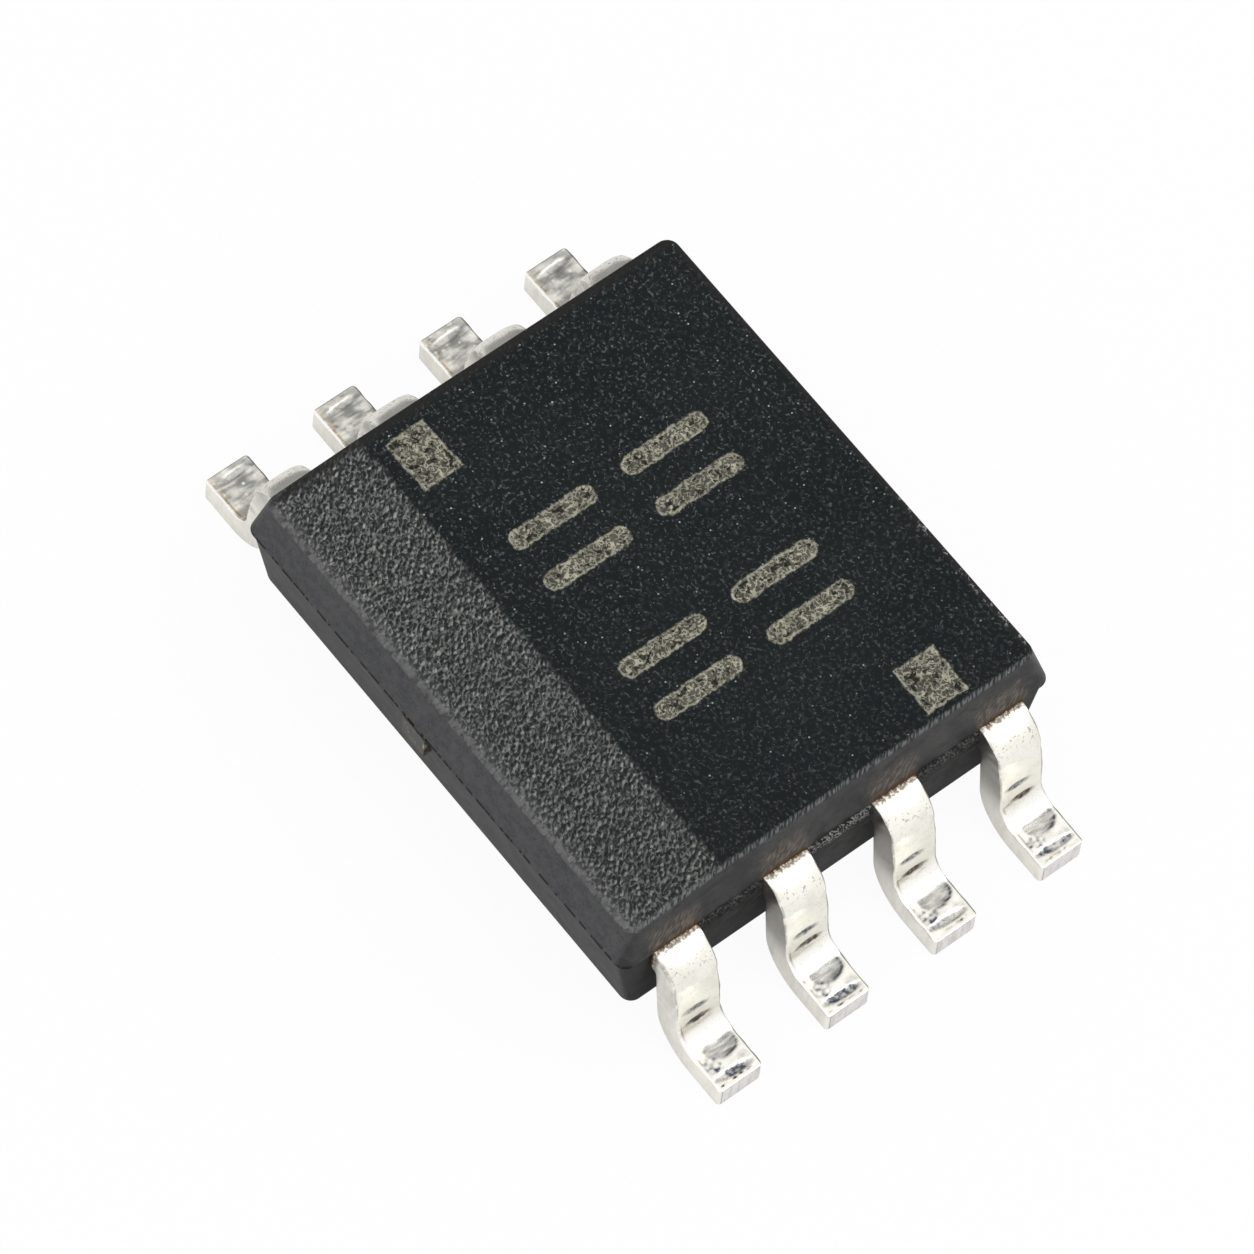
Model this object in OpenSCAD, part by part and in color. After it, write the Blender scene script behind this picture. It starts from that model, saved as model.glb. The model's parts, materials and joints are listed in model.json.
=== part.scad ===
// Bus transceiver chip: an eight-lead, very thin, shrink small-outline package.
// A drafted body is moulded round a lead frame, with the die on a lowered pad and one looped
// wire from the die to each lead. Millimetres. Z = 0 is the board under the lead feet,
// X runs across the two lead rows, Y along them, and the index strip is at the +Y end.
// Leads 1 to 4 are on the -X side from +Y to -Y, and leads 5 to 8 come back on the +X side.

/* [Body] */
// Width across the lead rows, at the parting plane
body_w = 2.24; // [2.2:0.01:2.4]
// Length along the lead rows, at the parting plane
body_l = 1.98; // [1.92:0.01:2.1]
// Top of the body above the board
body_top = 0.78; // [0.75:0.005:0.8]
// Gap between the board and the underside
stand_off = 0.16; // [0.03:0.01:0.18]
// Radius of the upright corners
corner_r = 0.05; // [0.03:0.005:0.12]
// Draft of the upper walls over the leads, in degrees
draft_top_side = 11; // [6:0.5:12]
// Draft of the upper end walls, in degrees
draft_top_end = 15; // [6:0.5:16]
// Draft of the lower walls under the leads, in degrees
draft_low_side = 2; // [1:0.5:12]
// Draft of the lower end walls, in degrees
draft_low_end = 9; // [4:0.5:12]
// How far the lower half steps in under the upper one
parting_step = 0.008; // [0.004:0.001:0.015]
// Width of the index strip along the pin 1 end
strip_w = 0.415; // [0.3:0.005:0.5]
// How far the index strip slopes down to its edge
strip_drop = 0.03; // [0.01:0.005:0.05]
// How far the flash between the leads stands out
flash_out = 0.015; // [0.005:0.005:0.03]
// Height of the flash, down from the parting plane
flash_t = 0.12; // [0.02:0.005:0.13]

/* [Leads] */
// Distance between neighbouring leads
pitch = 0.5; // [0.48:0.01:0.52]
// Distance between the tips of opposite leads
span = 3.1; // [3:0.01:3.2]
// Width of a lead
lead_w = 0.2; // [0.17:0.01:0.25]
// Thickness of the lead frame
frame_t = 0.12; // [0.1:0.005:0.13]
// Top face of the lead frame above the board, on the parting plane
parting_z = 0.565; // [0.54:0.005:0.58]
// Straight run outside the body before the shoulder bend
shoulder_run = 0.005; // [0:0.005:0.03]
// Inner radius of the shoulder bend
shoulder_r = 0.02; // [0.01:0.005:0.05]
// Inner radius of the heel bend
heel_r = 0.09; // [0.05:0.005:0.11]
// Lean of the limb from upright, in degrees
limb_lean = 7; // [2:0.5:15]
// Radius of the tip corners
tip_r = 0.025; // [0.01:0.005:0.05]
// Distance from the centre to the inner end of a finger
finger_in = 0.66; // [0.62:0.01:0.72]
// Length of the bond land
land_l = 0.2; // [0.15:0.01:0.24]
// Width of the bond land
land_w = 0.3; // [0.26:0.01:0.34]

/* [Die pad] */
// Width of the pad across the rows
pad_w = 1; // [0.9:0.01:1.1]
// Length of the pad along the rows
pad_l = 1.24; // [1.1:0.01:1.3]
// Corner radius of the pad
pad_r = 0.05; // [0.02:0.01:0.1]
// Depth of the pad below the leads
downset = 0.18; // [0.16:0.01:0.24]
// Width of a tie bar
tie_w = 0.13; // [0.1:0.01:0.2]
// Offset of the tie bars from the centre
tie_x = 0.1; // [0:0.01:0.2]
// How far a cut tie bar stands out of the end wall
tie_stub = 0.005; // [0.005:0.005:0.025]

/* [Die and wires] */
// Width of the die across the rows
die_w = 0.8; // [0.7:0.01:0.85]
// Length of the die along the rows
die_l = 1; // [0.9:0.01:1.1]
// Thickness of the die
die_t = 0.15; // [0.12:0.01:0.16]
// Thickness of the die attach layer
attach_t = 0.02; // [0.01:0.005:0.03]
// Spread of the die attach layer beyond the die
attach_edge = 0.02; // [0.01:0.005:0.04]
// Diameter of a bond wire
wire_d = 0.025; // [0.02:0.005:0.03]
// Diameter of the bonded ball
ball_d = 0.06; // [0.05:0.005:0.07]
// Height of the bonded ball
ball_h = 0.02; // [0.015:0.005:0.025]
// Radius of the wire loop
loop_r = 0.05; // [0.04:0.005:0.06]
// Straight rise of the wire at the ball, past the ball and the bond lands
rise = 0.01; // [0:0.005:0.03]
// Distance from the centre to the bond pads on the die
ball_x = 0.3; // [0.25:0.01:0.34]
// Distance between bond pads along the die
ball_pitch = 0.24; // [0.2:0.01:0.26]

/* [Hidden] */
$fn = 48;
// Overlap of cutters past the faces they cut
over = 0.1;
row_pins = 4;
pins = [1 : 2 * row_pins];
mold_black = [0.13, 0.14, 0.15];
tin = [0.86, 0.85, 0.82];
copper = [0.78, 0.5, 0.34];
silicon = [0.35, 0.36, 0.42];
adhesive = [0.75, 0.75, 0.72];
gold = [0.9, 0.72, 0.3];

half_w = body_w / 2;
half_l = body_l / 2;
low_half_w = half_w - parting_step;
low_half_l = half_l - parting_step;
top_h = body_top - parting_z;
low_h = parting_z - stand_off;
top_side_in = top_h * tan(draft_top_side);
top_end_in = top_h * tan(draft_top_end);
low_side_in = low_h * tan(draft_low_side);
low_end_in = low_h * tan(draft_low_end);
strip_y = half_l - top_end_in - strip_w;
strip_slope = atan(strip_drop / strip_w);

frame_low = parting_z - frame_t;
limb_turn = 90 - limb_lean;
// Where the shoulder bend starts, across the rows
bend_x = half_w + shoulder_run;
bends_r = shoulder_r + heel_r + frame_t;
limb_l = (frame_low - bends_r * (1 - cos(limb_turn))) / sin(limb_turn);
// Straight part of the foot, out to the tip
foot_l = span / 2 - bend_x - bends_r * sin(limb_turn) - limb_l * cos(limb_turn);

pad_low = frame_low - downset;
pad_top = pad_low + frame_t;
die_low = pad_top + attach_t;
die_top = die_low + die_t;
// Middle of a bond land, across the rows
land_x = finger_in + land_l / 2;
// Middle of the loop, above the bond lands and above the balls on the die
loop_z = max(parting_z, die_top + ball_h) + rise;
loop_up = loop_z - parting_z;

// Side of the body that a lead is on: -1 or 1
function side(pin) = pin <= row_pins ? -1 : 1;
// Place of a lead along its row, in pitches from the middle
function place(pin) = pin <= row_pins ? (row_pins + 1) / 2 - pin : pin - (3 * row_pins + 1) / 2;
// Outer lands stay flush with their leads and grow towards the middle only
function land_y(pin) = abs(place(pin)) > 1
    ? place(pin) * pitch - sign(place(pin)) * (land_w - lead_w) / 2
    : place(pin) * pitch;
function unit(v) = v / norm(v);

// Rectangle with round corners, centred
module round_rect(w, l, r) {
    square([w - 2 * r, l], center = true);
    square([w, l - 2 * r], center = true);
    for (x = [-1, 1], y = [-1, 1])
        translate([x * (w / 2 - r), y * (l / 2 - r)]) circle(r);
}

// Bend in the frame strip as seen from the side: the part of a ring from r to r + frame_t that
// lies right of the upright axis and, in the frame turned by lean, above the level axis
module bend(r, lean) {
    far = 2 * (r + frame_t);
    intersection() {
        difference() {
            circle(r + frame_t);
            circle(r);
        }
        translate([0, -far]) square([far, 2 * far]);
        rotate(lean) translate([-far, 0]) square([2 * far, far]);
    }
}

// Cutter that rounds the upright corner of a drafted half at +X +Y, along its sloping edge.
// w0 and l0 are the half sizes at the parting plane, w_in and l_in the insets at height h.
module corner_cut(w0, l0, w_in, l_in, h) {
    edge = [-w_in, -l_in, h];
    along = unit(edge);
    n1 = unit([abs(h), 0, sign(h) * w_in]);
    n2 = unit([0, abs(h), sign(h) * l_in]);
    v = cross(along, n1);
    n2_flat = [n1 * n2, v * n2];
    middle = -corner_r / (1 + n1 * n2) * ([1, 0] + n2_flat);
    reach = corner_r + over;
    multmatrix([
        [n1.x, v.x, along.x, w0],
        [n1.y, v.y, along.y, l0],
        [n1.z, v.z, along.z, parting_z],
        [0, 0, 0, 1]
    ])
        translate([0, 0, -over])
        linear_extrude(norm(edge) + 2 * over)
        difference() {
            polygon([
                middle,
                middle + [reach, 0],
                middle + reach / (1 + n1 * n2) * ([1, 0] + n2_flat),
                middle + reach * n2_flat
            ]);
            translate(middle) circle(corner_r);
        }
}

// One half of the body, drafted on all four walls. h is negative for the lower half.
module drafted_half(w0, l0, w_in, l_in, h) {
    difference() {
        translate([0, 0, parting_z]) intersection() {
            rotate([90, 0, 0]) linear_extrude(2 * l0, center = true)
                polygon([[-w0, 0], [w0, 0], [w0 - w_in, h], [w_in - w0, h]]);
            rotate([90, 0, 90]) linear_extrude(2 * w0, center = true)
                polygon([[-l0, 0], [l0, 0], [l0 - l_in, h], [l_in - l0, h]]);
        }
        for (x = [0, 1], y = [0, 1])
            mirror([x, 0, 0]) mirror([0, y, 0]) corner_cut(w0, l0, w_in, l_in, h);
    }
}

// Side view of a lead, formed in order from the finger: each stretch starts in the frame that
// the bend before it leaves
module lead_profile() {
    translate([finger_in, frame_low]) square([bend_x - finger_in, frame_t]);
    translate([bend_x, frame_low - shoulder_r]) {
        bend(shoulder_r, limb_lean);
        rotate(limb_lean) {
            translate([shoulder_r, -limb_l]) square([frame_t, limb_l]);
            translate([shoulder_r + frame_t + heel_r, -limb_l]) rotate(-limb_lean) {
                rotate(180) bend(heel_r, limb_lean);
                translate([0, -heel_r - frame_t]) square([foot_l, frame_t]);
            }
        }
    }
}

// Top view of a lead: bond land, finger and outer lead with round tip corners
module lead_plan(land_off) {
    translate([finger_in, land_off - land_w / 2]) square([land_l, land_w]);
    translate([finger_in, -lead_w / 2]) square([span / 2 - tip_r - finger_in, lead_w]);
    translate([finger_in, tip_r - lead_w / 2]) square([span / 2 - finger_in, lead_w - 2 * tip_r]);
    for (y = [-1, 1]) translate([span / 2 - tip_r, y * (lead_w / 2 - tip_r)]) circle(tip_r);
}

module formed_lead(pin) {
    translate([0, place(pin) * pitch, 0])
        mirror([side(pin) < 0 ? 1 : 0, 0, 0])
        intersection() {
            rotate([90, 0, 0]) linear_extrude(2 * land_w, center = true) lead_profile();
            translate([0, 0, -over]) linear_extrude(body_top)
                lead_plan(land_y(pin) - place(pin) * pitch);
        }
}

// Pad and its two joggled tie bars
module pad() {
    translate([0, 0, pad_low]) linear_extrude(frame_t) round_rect(pad_w, pad_l, pad_r);
    for (end = [0, 1]) mirror([0, end, 0])
        translate([tie_x, 0, 0]) rotate([90, 0, 90]) linear_extrude(tie_w, center = true)
            polygon([
                [0, pad_low],
                [pad_l / 2, pad_low],
                [pad_l / 2 + downset, frame_low],
                [half_l + tie_stub, frame_low],
                [half_l + tie_stub, parting_z],
                [pad_l / 2 + downset, parting_z],
                [pad_l / 2, pad_top],
                [0, pad_top]
            ]);
}

module attach_layer() {
    translate([0, 0, pad_top + attach_t / 2])
        cube([die_w + 2 * attach_edge, die_l + 2 * attach_edge, attach_t], center = true);
}

module chip() {
    translate([0, 0, die_low + die_t / 2]) cube([die_w, die_l, die_t], center = true);
}

// Ball on the die, a rise, a loop, and a straight run down to a flat on the bond land
module looped_wire(pin) {
    ball = [side(pin) * ball_x, place(pin) * ball_pitch];
    run = [side(pin) * land_x, land_y(pin)] - ball;
    reach = norm(run) - loop_r;
    // Slope of the straight run that leaves the loop on a tangent
    slope = atan2(loop_up, reach) + asin(loop_r / norm([reach, loop_up]));
    run_l = (reach - loop_r * sin(slope)) / cos(slope);
    translate([ball.x, ball.y, 0]) rotate([0, 0, atan2(run.y, run.x)]) difference() {
        union() {
            translate([0, 0, die_top]) cylinder(h = ball_h, d = ball_d);
            translate([0, 0, die_top]) cylinder(h = loop_z - die_top, d = wire_d);
            translate([loop_r, 0, loop_z]) rotate([90, 0, 0]) rotate([0, 0, 90 - slope]) {
                rotate_extrude(angle = 90 + slope) translate([loop_r, 0]) circle(d = wire_d);
                translate([loop_r, 0, 0]) rotate([90, 0, 0]) cylinder(h = run_l + wire_d, d = wire_d);
            }
        }
        translate([norm(run) / 2, -wire_d, parting_z - over]) cube([norm(run), 2 * wire_d, over]);
    }
}

// Broken ledges of resin between neighbouring leads
module flash() {
    for (x = [-1, 1], gap = [-1, 0, 1])
        translate([x * (half_w + flash_out) / 2, gap * pitch, parting_z - flash_t / 2])
            cube([half_w + flash_out, pitch - lead_w, flash_t], center = true);
}

module mold_body() {
    color(mold_black) difference() {
        union() {
            drafted_half(half_w, half_l, top_side_in, top_end_in, top_h);
            drafted_half(low_half_w, low_half_l, low_side_in, low_end_in, -low_h);
            flash();
        }
        translate([-body_w / 2, strip_y, body_top]) rotate([-strip_slope, 0, 0])
            cube([body_w, body_l / 2, over]);
        for (pin = pins) formed_lead(pin);
        for (pin = pins) looped_wire(pin);
        pad();
        attach_layer();
        chip();
    }
}

module lead(pin) { color(tin) formed_lead(pin); }
module bond_wire(pin) { color(gold) looped_wire(pin); }
module die_pad() { color(copper) pad(); }
module die_attach() { color(adhesive) attach_layer(); }
module die() { color(silicon) chip(); }

mold_body();
for (pin = pins) {
    lead(pin);
    bond_wire(pin);
}
die_pad();
die_attach();
die();
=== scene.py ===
"""Looks of an eight-lead chip: a black moulded body, eight tin-plated leads and the parts inside.

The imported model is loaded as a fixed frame. The body and the leads are drawn again as fine surfaces that
keep the form of their solids, the parts inside keep their solids, and every piece gets a node material.
Lengths are metres in the meshes and millimetres in the materials.
"""

import json
import math
from functools import partialmethod, reduce

import bpy
import numpy as np
from bpy.props import FloatProperty, FloatVectorProperty, PointerProperty
from mathutils import Matrix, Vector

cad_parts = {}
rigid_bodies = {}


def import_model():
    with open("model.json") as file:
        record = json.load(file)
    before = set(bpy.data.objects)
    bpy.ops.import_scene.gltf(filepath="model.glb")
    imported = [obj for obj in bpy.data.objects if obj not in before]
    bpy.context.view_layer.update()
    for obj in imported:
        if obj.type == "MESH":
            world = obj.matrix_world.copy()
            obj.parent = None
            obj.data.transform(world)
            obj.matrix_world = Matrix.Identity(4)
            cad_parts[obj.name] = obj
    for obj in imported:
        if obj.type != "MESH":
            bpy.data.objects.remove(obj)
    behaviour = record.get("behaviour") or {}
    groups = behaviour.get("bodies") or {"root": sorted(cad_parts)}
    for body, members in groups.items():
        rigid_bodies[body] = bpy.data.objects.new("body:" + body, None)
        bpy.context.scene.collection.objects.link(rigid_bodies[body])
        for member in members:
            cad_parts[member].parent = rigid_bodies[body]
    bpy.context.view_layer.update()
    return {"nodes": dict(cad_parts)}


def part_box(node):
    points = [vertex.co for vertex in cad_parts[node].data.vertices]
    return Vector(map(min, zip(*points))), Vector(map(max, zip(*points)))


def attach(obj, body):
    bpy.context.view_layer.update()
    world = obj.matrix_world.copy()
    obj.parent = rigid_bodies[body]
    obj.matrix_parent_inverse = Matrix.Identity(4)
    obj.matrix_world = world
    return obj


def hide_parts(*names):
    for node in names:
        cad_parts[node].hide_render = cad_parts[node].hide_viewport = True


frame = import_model()

bl_info = {
    "name": "Gull-wing chip",
    "version": (1, 0, 0),
    "blender": (4, 5, 0),
    "location": "3D View > Sidebar > Chip",
    "description": "Draws a small moulded chip with eight formed leads, its finishes and a white stage",
    "category": "Object",
}

MM = 0.001
LEADS = [f"lead_{pin}" for pin in range(1, 9)]
WIRES = [f"bond_wire_{pin}" for pin in range(1, 9)]
BODY_LOW, BODY_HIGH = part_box("mold_body")
LEAD_LOW, LEAD_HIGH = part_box("lead_2")
FLASH_OUT = 0.015 * MM

# Steps of the surfaces
BODY_COLUMNS, TOP_ROWS, STRIP_ROWS, CORNER_STEPS = 128, 128, 58, 9
PATH_POINTS, LEAD_ROWS, TIP_ROWS, CAP_INSET = 24001, 230, 9, 0.1
SHARP_ANGLE = math.radians(50)

# Depths of the fine relief in metres
RESIN_RELIEF, TIN_RELIEF, INNER_RELIEF = 3.0e-6, 1.2e-6, 2.0e-6

# Grains of the index strip: how many to the millimetre, and their turn in radians
STRIP_GRAIN, STRIP_GRAIN_TURN = 62.0, -2.48

# Laser marks in millimetres: middle, half sizes and turn of each block, then the places and size of the bars
LASER_BLOCKS = (((0.880, 0.361), (0.120, 0.090), 0.03), ((-0.932, -0.552), (0.106, 0.092), -0.02))
LASER_BARS_X = (0.190, 0.400, -0.250, -0.460)
LASER_BARS_Y = (0.140, -0.375)
LASER_BAR_HALF, LASER_BAR_RADIUS = 0.150, 0.042

# The bend and the tool's marks along a lead's top face, in millimetres, and the force of the marks by row
BEND_U = 0.03
GROOVE_1_U, GROOVE_2_U, PRINT_U, BAR_U, TIP_LINE_U = 0.394, 0.482, 0.620, 0.728, 0.757
FRONT_FORCE, REAR_FORCE = 1.0, 0.35

# Camera found from the photograph's straight edges: lens and sensor in millimetres, turn vector in radians
LENS, SENSOR = 249.73, 36.0
CAMERA_TURN = np.array([1.2915, -2.6035, 0.6673])
CAMERA_SHIFT = np.array([0.0443, 0.1711, 32.1498]) * MM

# Directions of the stage: the darker side of the sky, and the lamp
FAR_SIDE = (0.70, -0.68, 0.20)
LAMP_SIDE = np.array([-0.35, -0.30, 0.88])

# Second shades of the resin, linear
TOP_CLOUD = (0.0072, 0.0098, 0.0108)
# Painted shade on the dark side of the strip's bumps
STRIP_SHADE = (0.008, 0.0095, 0.009)
STRIP_EDGE = (0.215, 0.215, 0.212)
BEAD_GAP = (0.064, 0.064, 0.066)
BEAD_GREY = (0.105, 0.105, 0.107)
BEAD_PALE = (0.175, 0.175, 0.179)
LASER_DIM = (0.062, 0.060, 0.048)
RIM_TICK = (0.170, 0.175, 0.175)
RIM_REAR = (0.0170, 0.0160, 0.0150)
RIM_FAR = (0.0190, 0.0180, 0.0175)
RIM_CHIP = (0.300, 0.300, 0.295)
# Painted shade on the lower walls, blotched on the ends
LOW_SIDE_PAINTED_SHADE = (0.0140, 0.0140, 0.0136)
LOW_END_SHADE_BLOTCH = (0.010, 0.010, 0.010)
END_BLOTCH = (0.098, 0.098, 0.100)
WALL_CLOUD = (0.084, 0.083, 0.083)
WALL_SPECK = (0.030, 0.030, 0.032)
WALL_SCUFF = (0.015, 0.015, 0.016)
WALL_MOTE = (0.20, 0.20, 0.19)
LEAD_PATCH = (0.160, 0.132, 0.106)
LEAD_DIRT = (0.075, 0.036, 0.014)
SEAM_GAP = (0.001, 0.001, 0.001)
SEAM_CHIP = (0.50, 0.50, 0.48)
SEAM_DUST = (0.42, 0.42, 0.40)
FLASH_DARK = (0.016, 0.016, 0.016)
FLASH_GREY = (0.115, 0.115, 0.110)
FLASH_PALE = (0.330, 0.330, 0.320)
GAP_SHADE = (0.004, 0.004, 0.004)

# Second shades of the tin, linear
TIN_CLOUD = (0.885, 0.858, 0.775)
TIN_SHEARED = (0.72, 0.71, 0.68)
# Painted shade on the leads' sides and edges
TIN_PAINTED_SHADE = (0.20, 0.19, 0.17)
TIN_PRINT = (0.092, 0.096, 0.102)
# Painted highlight on the front feet
TIN_PAINTED_HIGHLIGHT = (0.995, 0.990, 0.975)
TIN_PIT = (0.20, 0.19, 0.165)
# Rear row: painted shade on the shoulder, grey streaks on foot and heel, a painted highlight at the edge
REAR_SHOULDER_PAINTED_SHADE = (0.50, 0.49, 0.46)
REAR_FOOT_GREY = (0.29, 0.29, 0.275)
REAR_HEEL_GREY = (0.15, 0.14, 0.10)
REAR_EDGE_PAINTED_HIGHLIGHT = (0.92, 0.78, 0.52)
# Painted shade, shadow and highlight at the leads' edges
EDGE_PAINTED_SHADE = (0.07, 0.068, 0.062)
UNDER_PAINTED_SHADOW = (0.12, 0.105, 0.085)
BEVEL_PAINTED_HIGHLIGHT = (0.99, 0.98, 0.95)
EDGE_BROWN = (0.36, 0.25, 0.14)
TIP_PALE = (0.76, 0.735, 0.725)
TIP_GREY = (0.60, 0.58, 0.575)
TIP_EDGE = (0.16, 0.15, 0.145)
EXIT_SPECK = (0.26, 0.215, 0.16)
EXIT_BROWN = (0.150, 0.100, 0.060)
EXIT_DARK = (0.040, 0.027, 0.017)

# Shades of the parts inside and of the stage, linear
COPPER_STREAK = (0.42, 0.24, 0.13)
SMEAR_DARK = (0.036, 0.031, 0.026)
SMEAR_BROWN = (0.062, 0.052, 0.038)
SMEAR_GLINT = (0.34, 0.29, 0.19)
SILICON_BLUE = (0.075, 0.080, 0.105)
SILICON_GREY = (0.16, 0.15, 0.17)
SILVER_GREY = (0.36, 0.36, 0.35)
SILVER_PALE = (0.62, 0.62, 0.60)
GOLD_DEEP = (0.86, 0.58, 0.18)
GOLD_PALE = (0.95, 0.72, 0.30)
WHITE = (1.0, 1.0, 1.0)


def length(name, description, default):
    """A length in metres, shown with its unit."""
    return FloatProperty(name=name, description=description, default=default, unit="LENGTH", precision=6)


def colour(name, description, default):
    """A linear colour."""
    return FloatVectorProperty(name=name, description=description, default=default, subtype="COLOR",
                               min=0.0, max=1.0)


def angle(name, description, degrees):
    """An angle, given in degrees."""
    return FloatProperty(name=name, description=description, default=math.radians(degrees), unit="ROTATION")


def share(name, description, default):
    """A share or strength, where 1 is the whole."""
    return FloatProperty(name=name, description=description, default=default, min=0.0)


class BodySizes(bpy.types.PropertyGroup):
    """Sizes of the moulded body."""

    half_width: length("Half width", "Half the width at the parting plane", BODY_HIGH.x - FLASH_OUT)
    half_length: length("Half length", "Half the length at the parting plane", BODY_HIGH.y)
    top: length("Top", "Height of the top face", BODY_HIGH.z)
    bottom: length("Bottom", "Height of the underside", BODY_LOW.z)
    parting: length("Parting plane", "Height of the parting plane", LEAD_HIGH.z)
    corner: length("Corner radius", "Radius of the upright corners", 0.05 * MM)
    draft_side: angle("Side draft", "Draft of the upper walls over the leads", 11)
    draft_end: angle("End draft", "Draft of the upper end walls", 15)
    low_draft_side: angle("Lower side draft", "Draft of the lower walls under the leads", 2)
    low_draft_end: angle("Lower end draft", "Draft of the lower end walls", 9)
    step: length("Parting step", "How far the lower half steps in", 0.008 * MM)
    strip_width: length("Strip width", "Width of the index strip at the top face", 0.415 * MM)
    strip_drop: length("Strip drop", "How far the strip slopes down to its edge", 0.03 * MM)
    flash_out: length("Flash", "How far the flash stands out between the leads", FLASH_OUT)
    flash_height: length("Flash height", "Height of the flash under the parting plane", 0.12 * MM)
    edge: length("Edge radius", "Rounding of the top and bottom edges", 0.014 * MM)
    lumps: length("Lumps", "Height of the lumps on the strip's outer rim", 0.0022 * MM)
    broken: length("Broken face", "Roughness of the broken face of the flash", 0.005 * MM)


class LeadSizes(bpy.types.PropertyGroup):
    """Sizes of one lead, from the finger in the body to the tip of the foot."""

    width: length("Width", "Width outside the body", 0.2 * MM)
    thickness: length("Thickness", "Thickness of the lead frame", 0.12 * MM)
    inner_end: length("Inner end", "Where the finger starts, from the middle", -LEAD_HIGH.x)
    land_length: length("Land length", "Length of the bond land", 0.2 * MM)
    land_width: length("Land width", "Width of the bond land", LEAD_HIGH.y - LEAD_LOW.y)
    bend_start: length("Bend start", "Where the shoulder bend starts, from the middle", 1.125 * MM)
    shoulder: length("Shoulder radius", "Inner radius of the shoulder bend", 0.02 * MM)
    heel: length("Heel radius", "Inner radius of the heel bend", 0.09 * MM)
    lean: angle("Lean", "Lean of the limb from upright", 7)
    tip: length("Tip", "Where the foot ends, from the middle", -LEAD_LOW.x)
    tip_corner: length("Tip corner", "Radius of the tip corners", 0.018 * MM)
    pitch: length("Pitch", "Distance between neighbouring leads", 0.5 * MM)
    edge: length("Edge radius", "Rounding of the long edges", 0.005 * MM)
    crown: length("Crown", "How far the sides of the outer bend are drawn down", 0.012 * MM)
    coin: length("Coining", "How much thinner the foot is pressed at its tip", 0.009 * MM)
    coin_length: length("Coined length", "Length of the foot that is pressed thinner", 0.27 * MM)
    wave: length("Shear wave", "Waviness of the sheared edges", 0.0010 * MM)
    sway: length("Sway", "Unevenness of the top face", 0.0003 * MM)


class Finishes(bpy.types.PropertyGroup):
    """Colours of the finishes, linear."""

    resin_top: colour("Resin, textured", "Spark-textured top face", (0.0048, 0.0072, 0.0082))
    # Painted glints of the rough top face
    resin_painted_glint: colour("Resin, flecks", "Pale flecks of the top face", (0.480, 0.510, 0.510))
    # Painted light: a lighter copy of the resin for the end walls
    resin_end_painted_light: colour("Resin, ends", "Smooth end walls", (0.0570, 0.0585, 0.0645))
    resin_side: colour("Resin, sides", "Smooth walls over the leads", (0.0245, 0.0245, 0.0245))
    resin_low: colour("Resin, lower half", "Smooth lower walls", (0.0225, 0.0205, 0.0180))
    strip_dark: colour("Strip, valleys", "Valleys of the rough index strip", (0.0190, 0.0215, 0.0210))
    # Grains of the strip with their painted highlights and glints
    strip_grains_and_highlights: colour("Strip, grains", "Grains of the rough index strip", (0.420, 0.430, 0.415))
    laser_line: colour("Laser, lines", "Resin turned pale by the laser", (0.460, 0.445, 0.345))
    laser_ground: colour("Laser, ground", "Ground of the laser mark", (0.115, 0.111, 0.087))
    laser_pit: colour("Laser, pits", "Burnt pits of the laser mark", (0.014, 0.014, 0.011))
    tin: colour("Tin", "Tin plating", (0.968, 0.945, 0.870))
    tin_blue: colour("Tin, stained", "Blue-grey stains in the plating", (0.075, 0.088, 0.115))
    tin_brown: colour("Tin, burnt", "Brown stains in the plating", (0.105, 0.070, 0.055))
    copper: colour("Copper", "Bare copper alloy", (0.55, 0.27, 0.13))
    floor: colour("Floor", "The white floor", (0.90, 0.90, 0.90))


class StageSettings(bpy.types.PropertyGroup):
    """Light of the stage."""

    fill: share("Fill", "Strength of the sky that lights the part", 0.72)
    far_dark: share("Far side", "What the far side of the sky, low down, shows in the metal", 0.35)
    floor_glow: share("Floor glow", "Share of the floor's own white that the camera sees", 0.95)
    floor_mirror: share("Floor in metal", "Share of the floor's own white that the metal shows", 0.45)
    lamp_power: FloatProperty(name="Lamp", description="Power of the soft lamp", default=0.016, unit="POWER")
    lamp_size: length("Lamp size", "Diameter of the soft lamp", 0.05)
    lamp_away: length("Lamp distance", "Distance of the soft lamp", 0.07)


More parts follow.
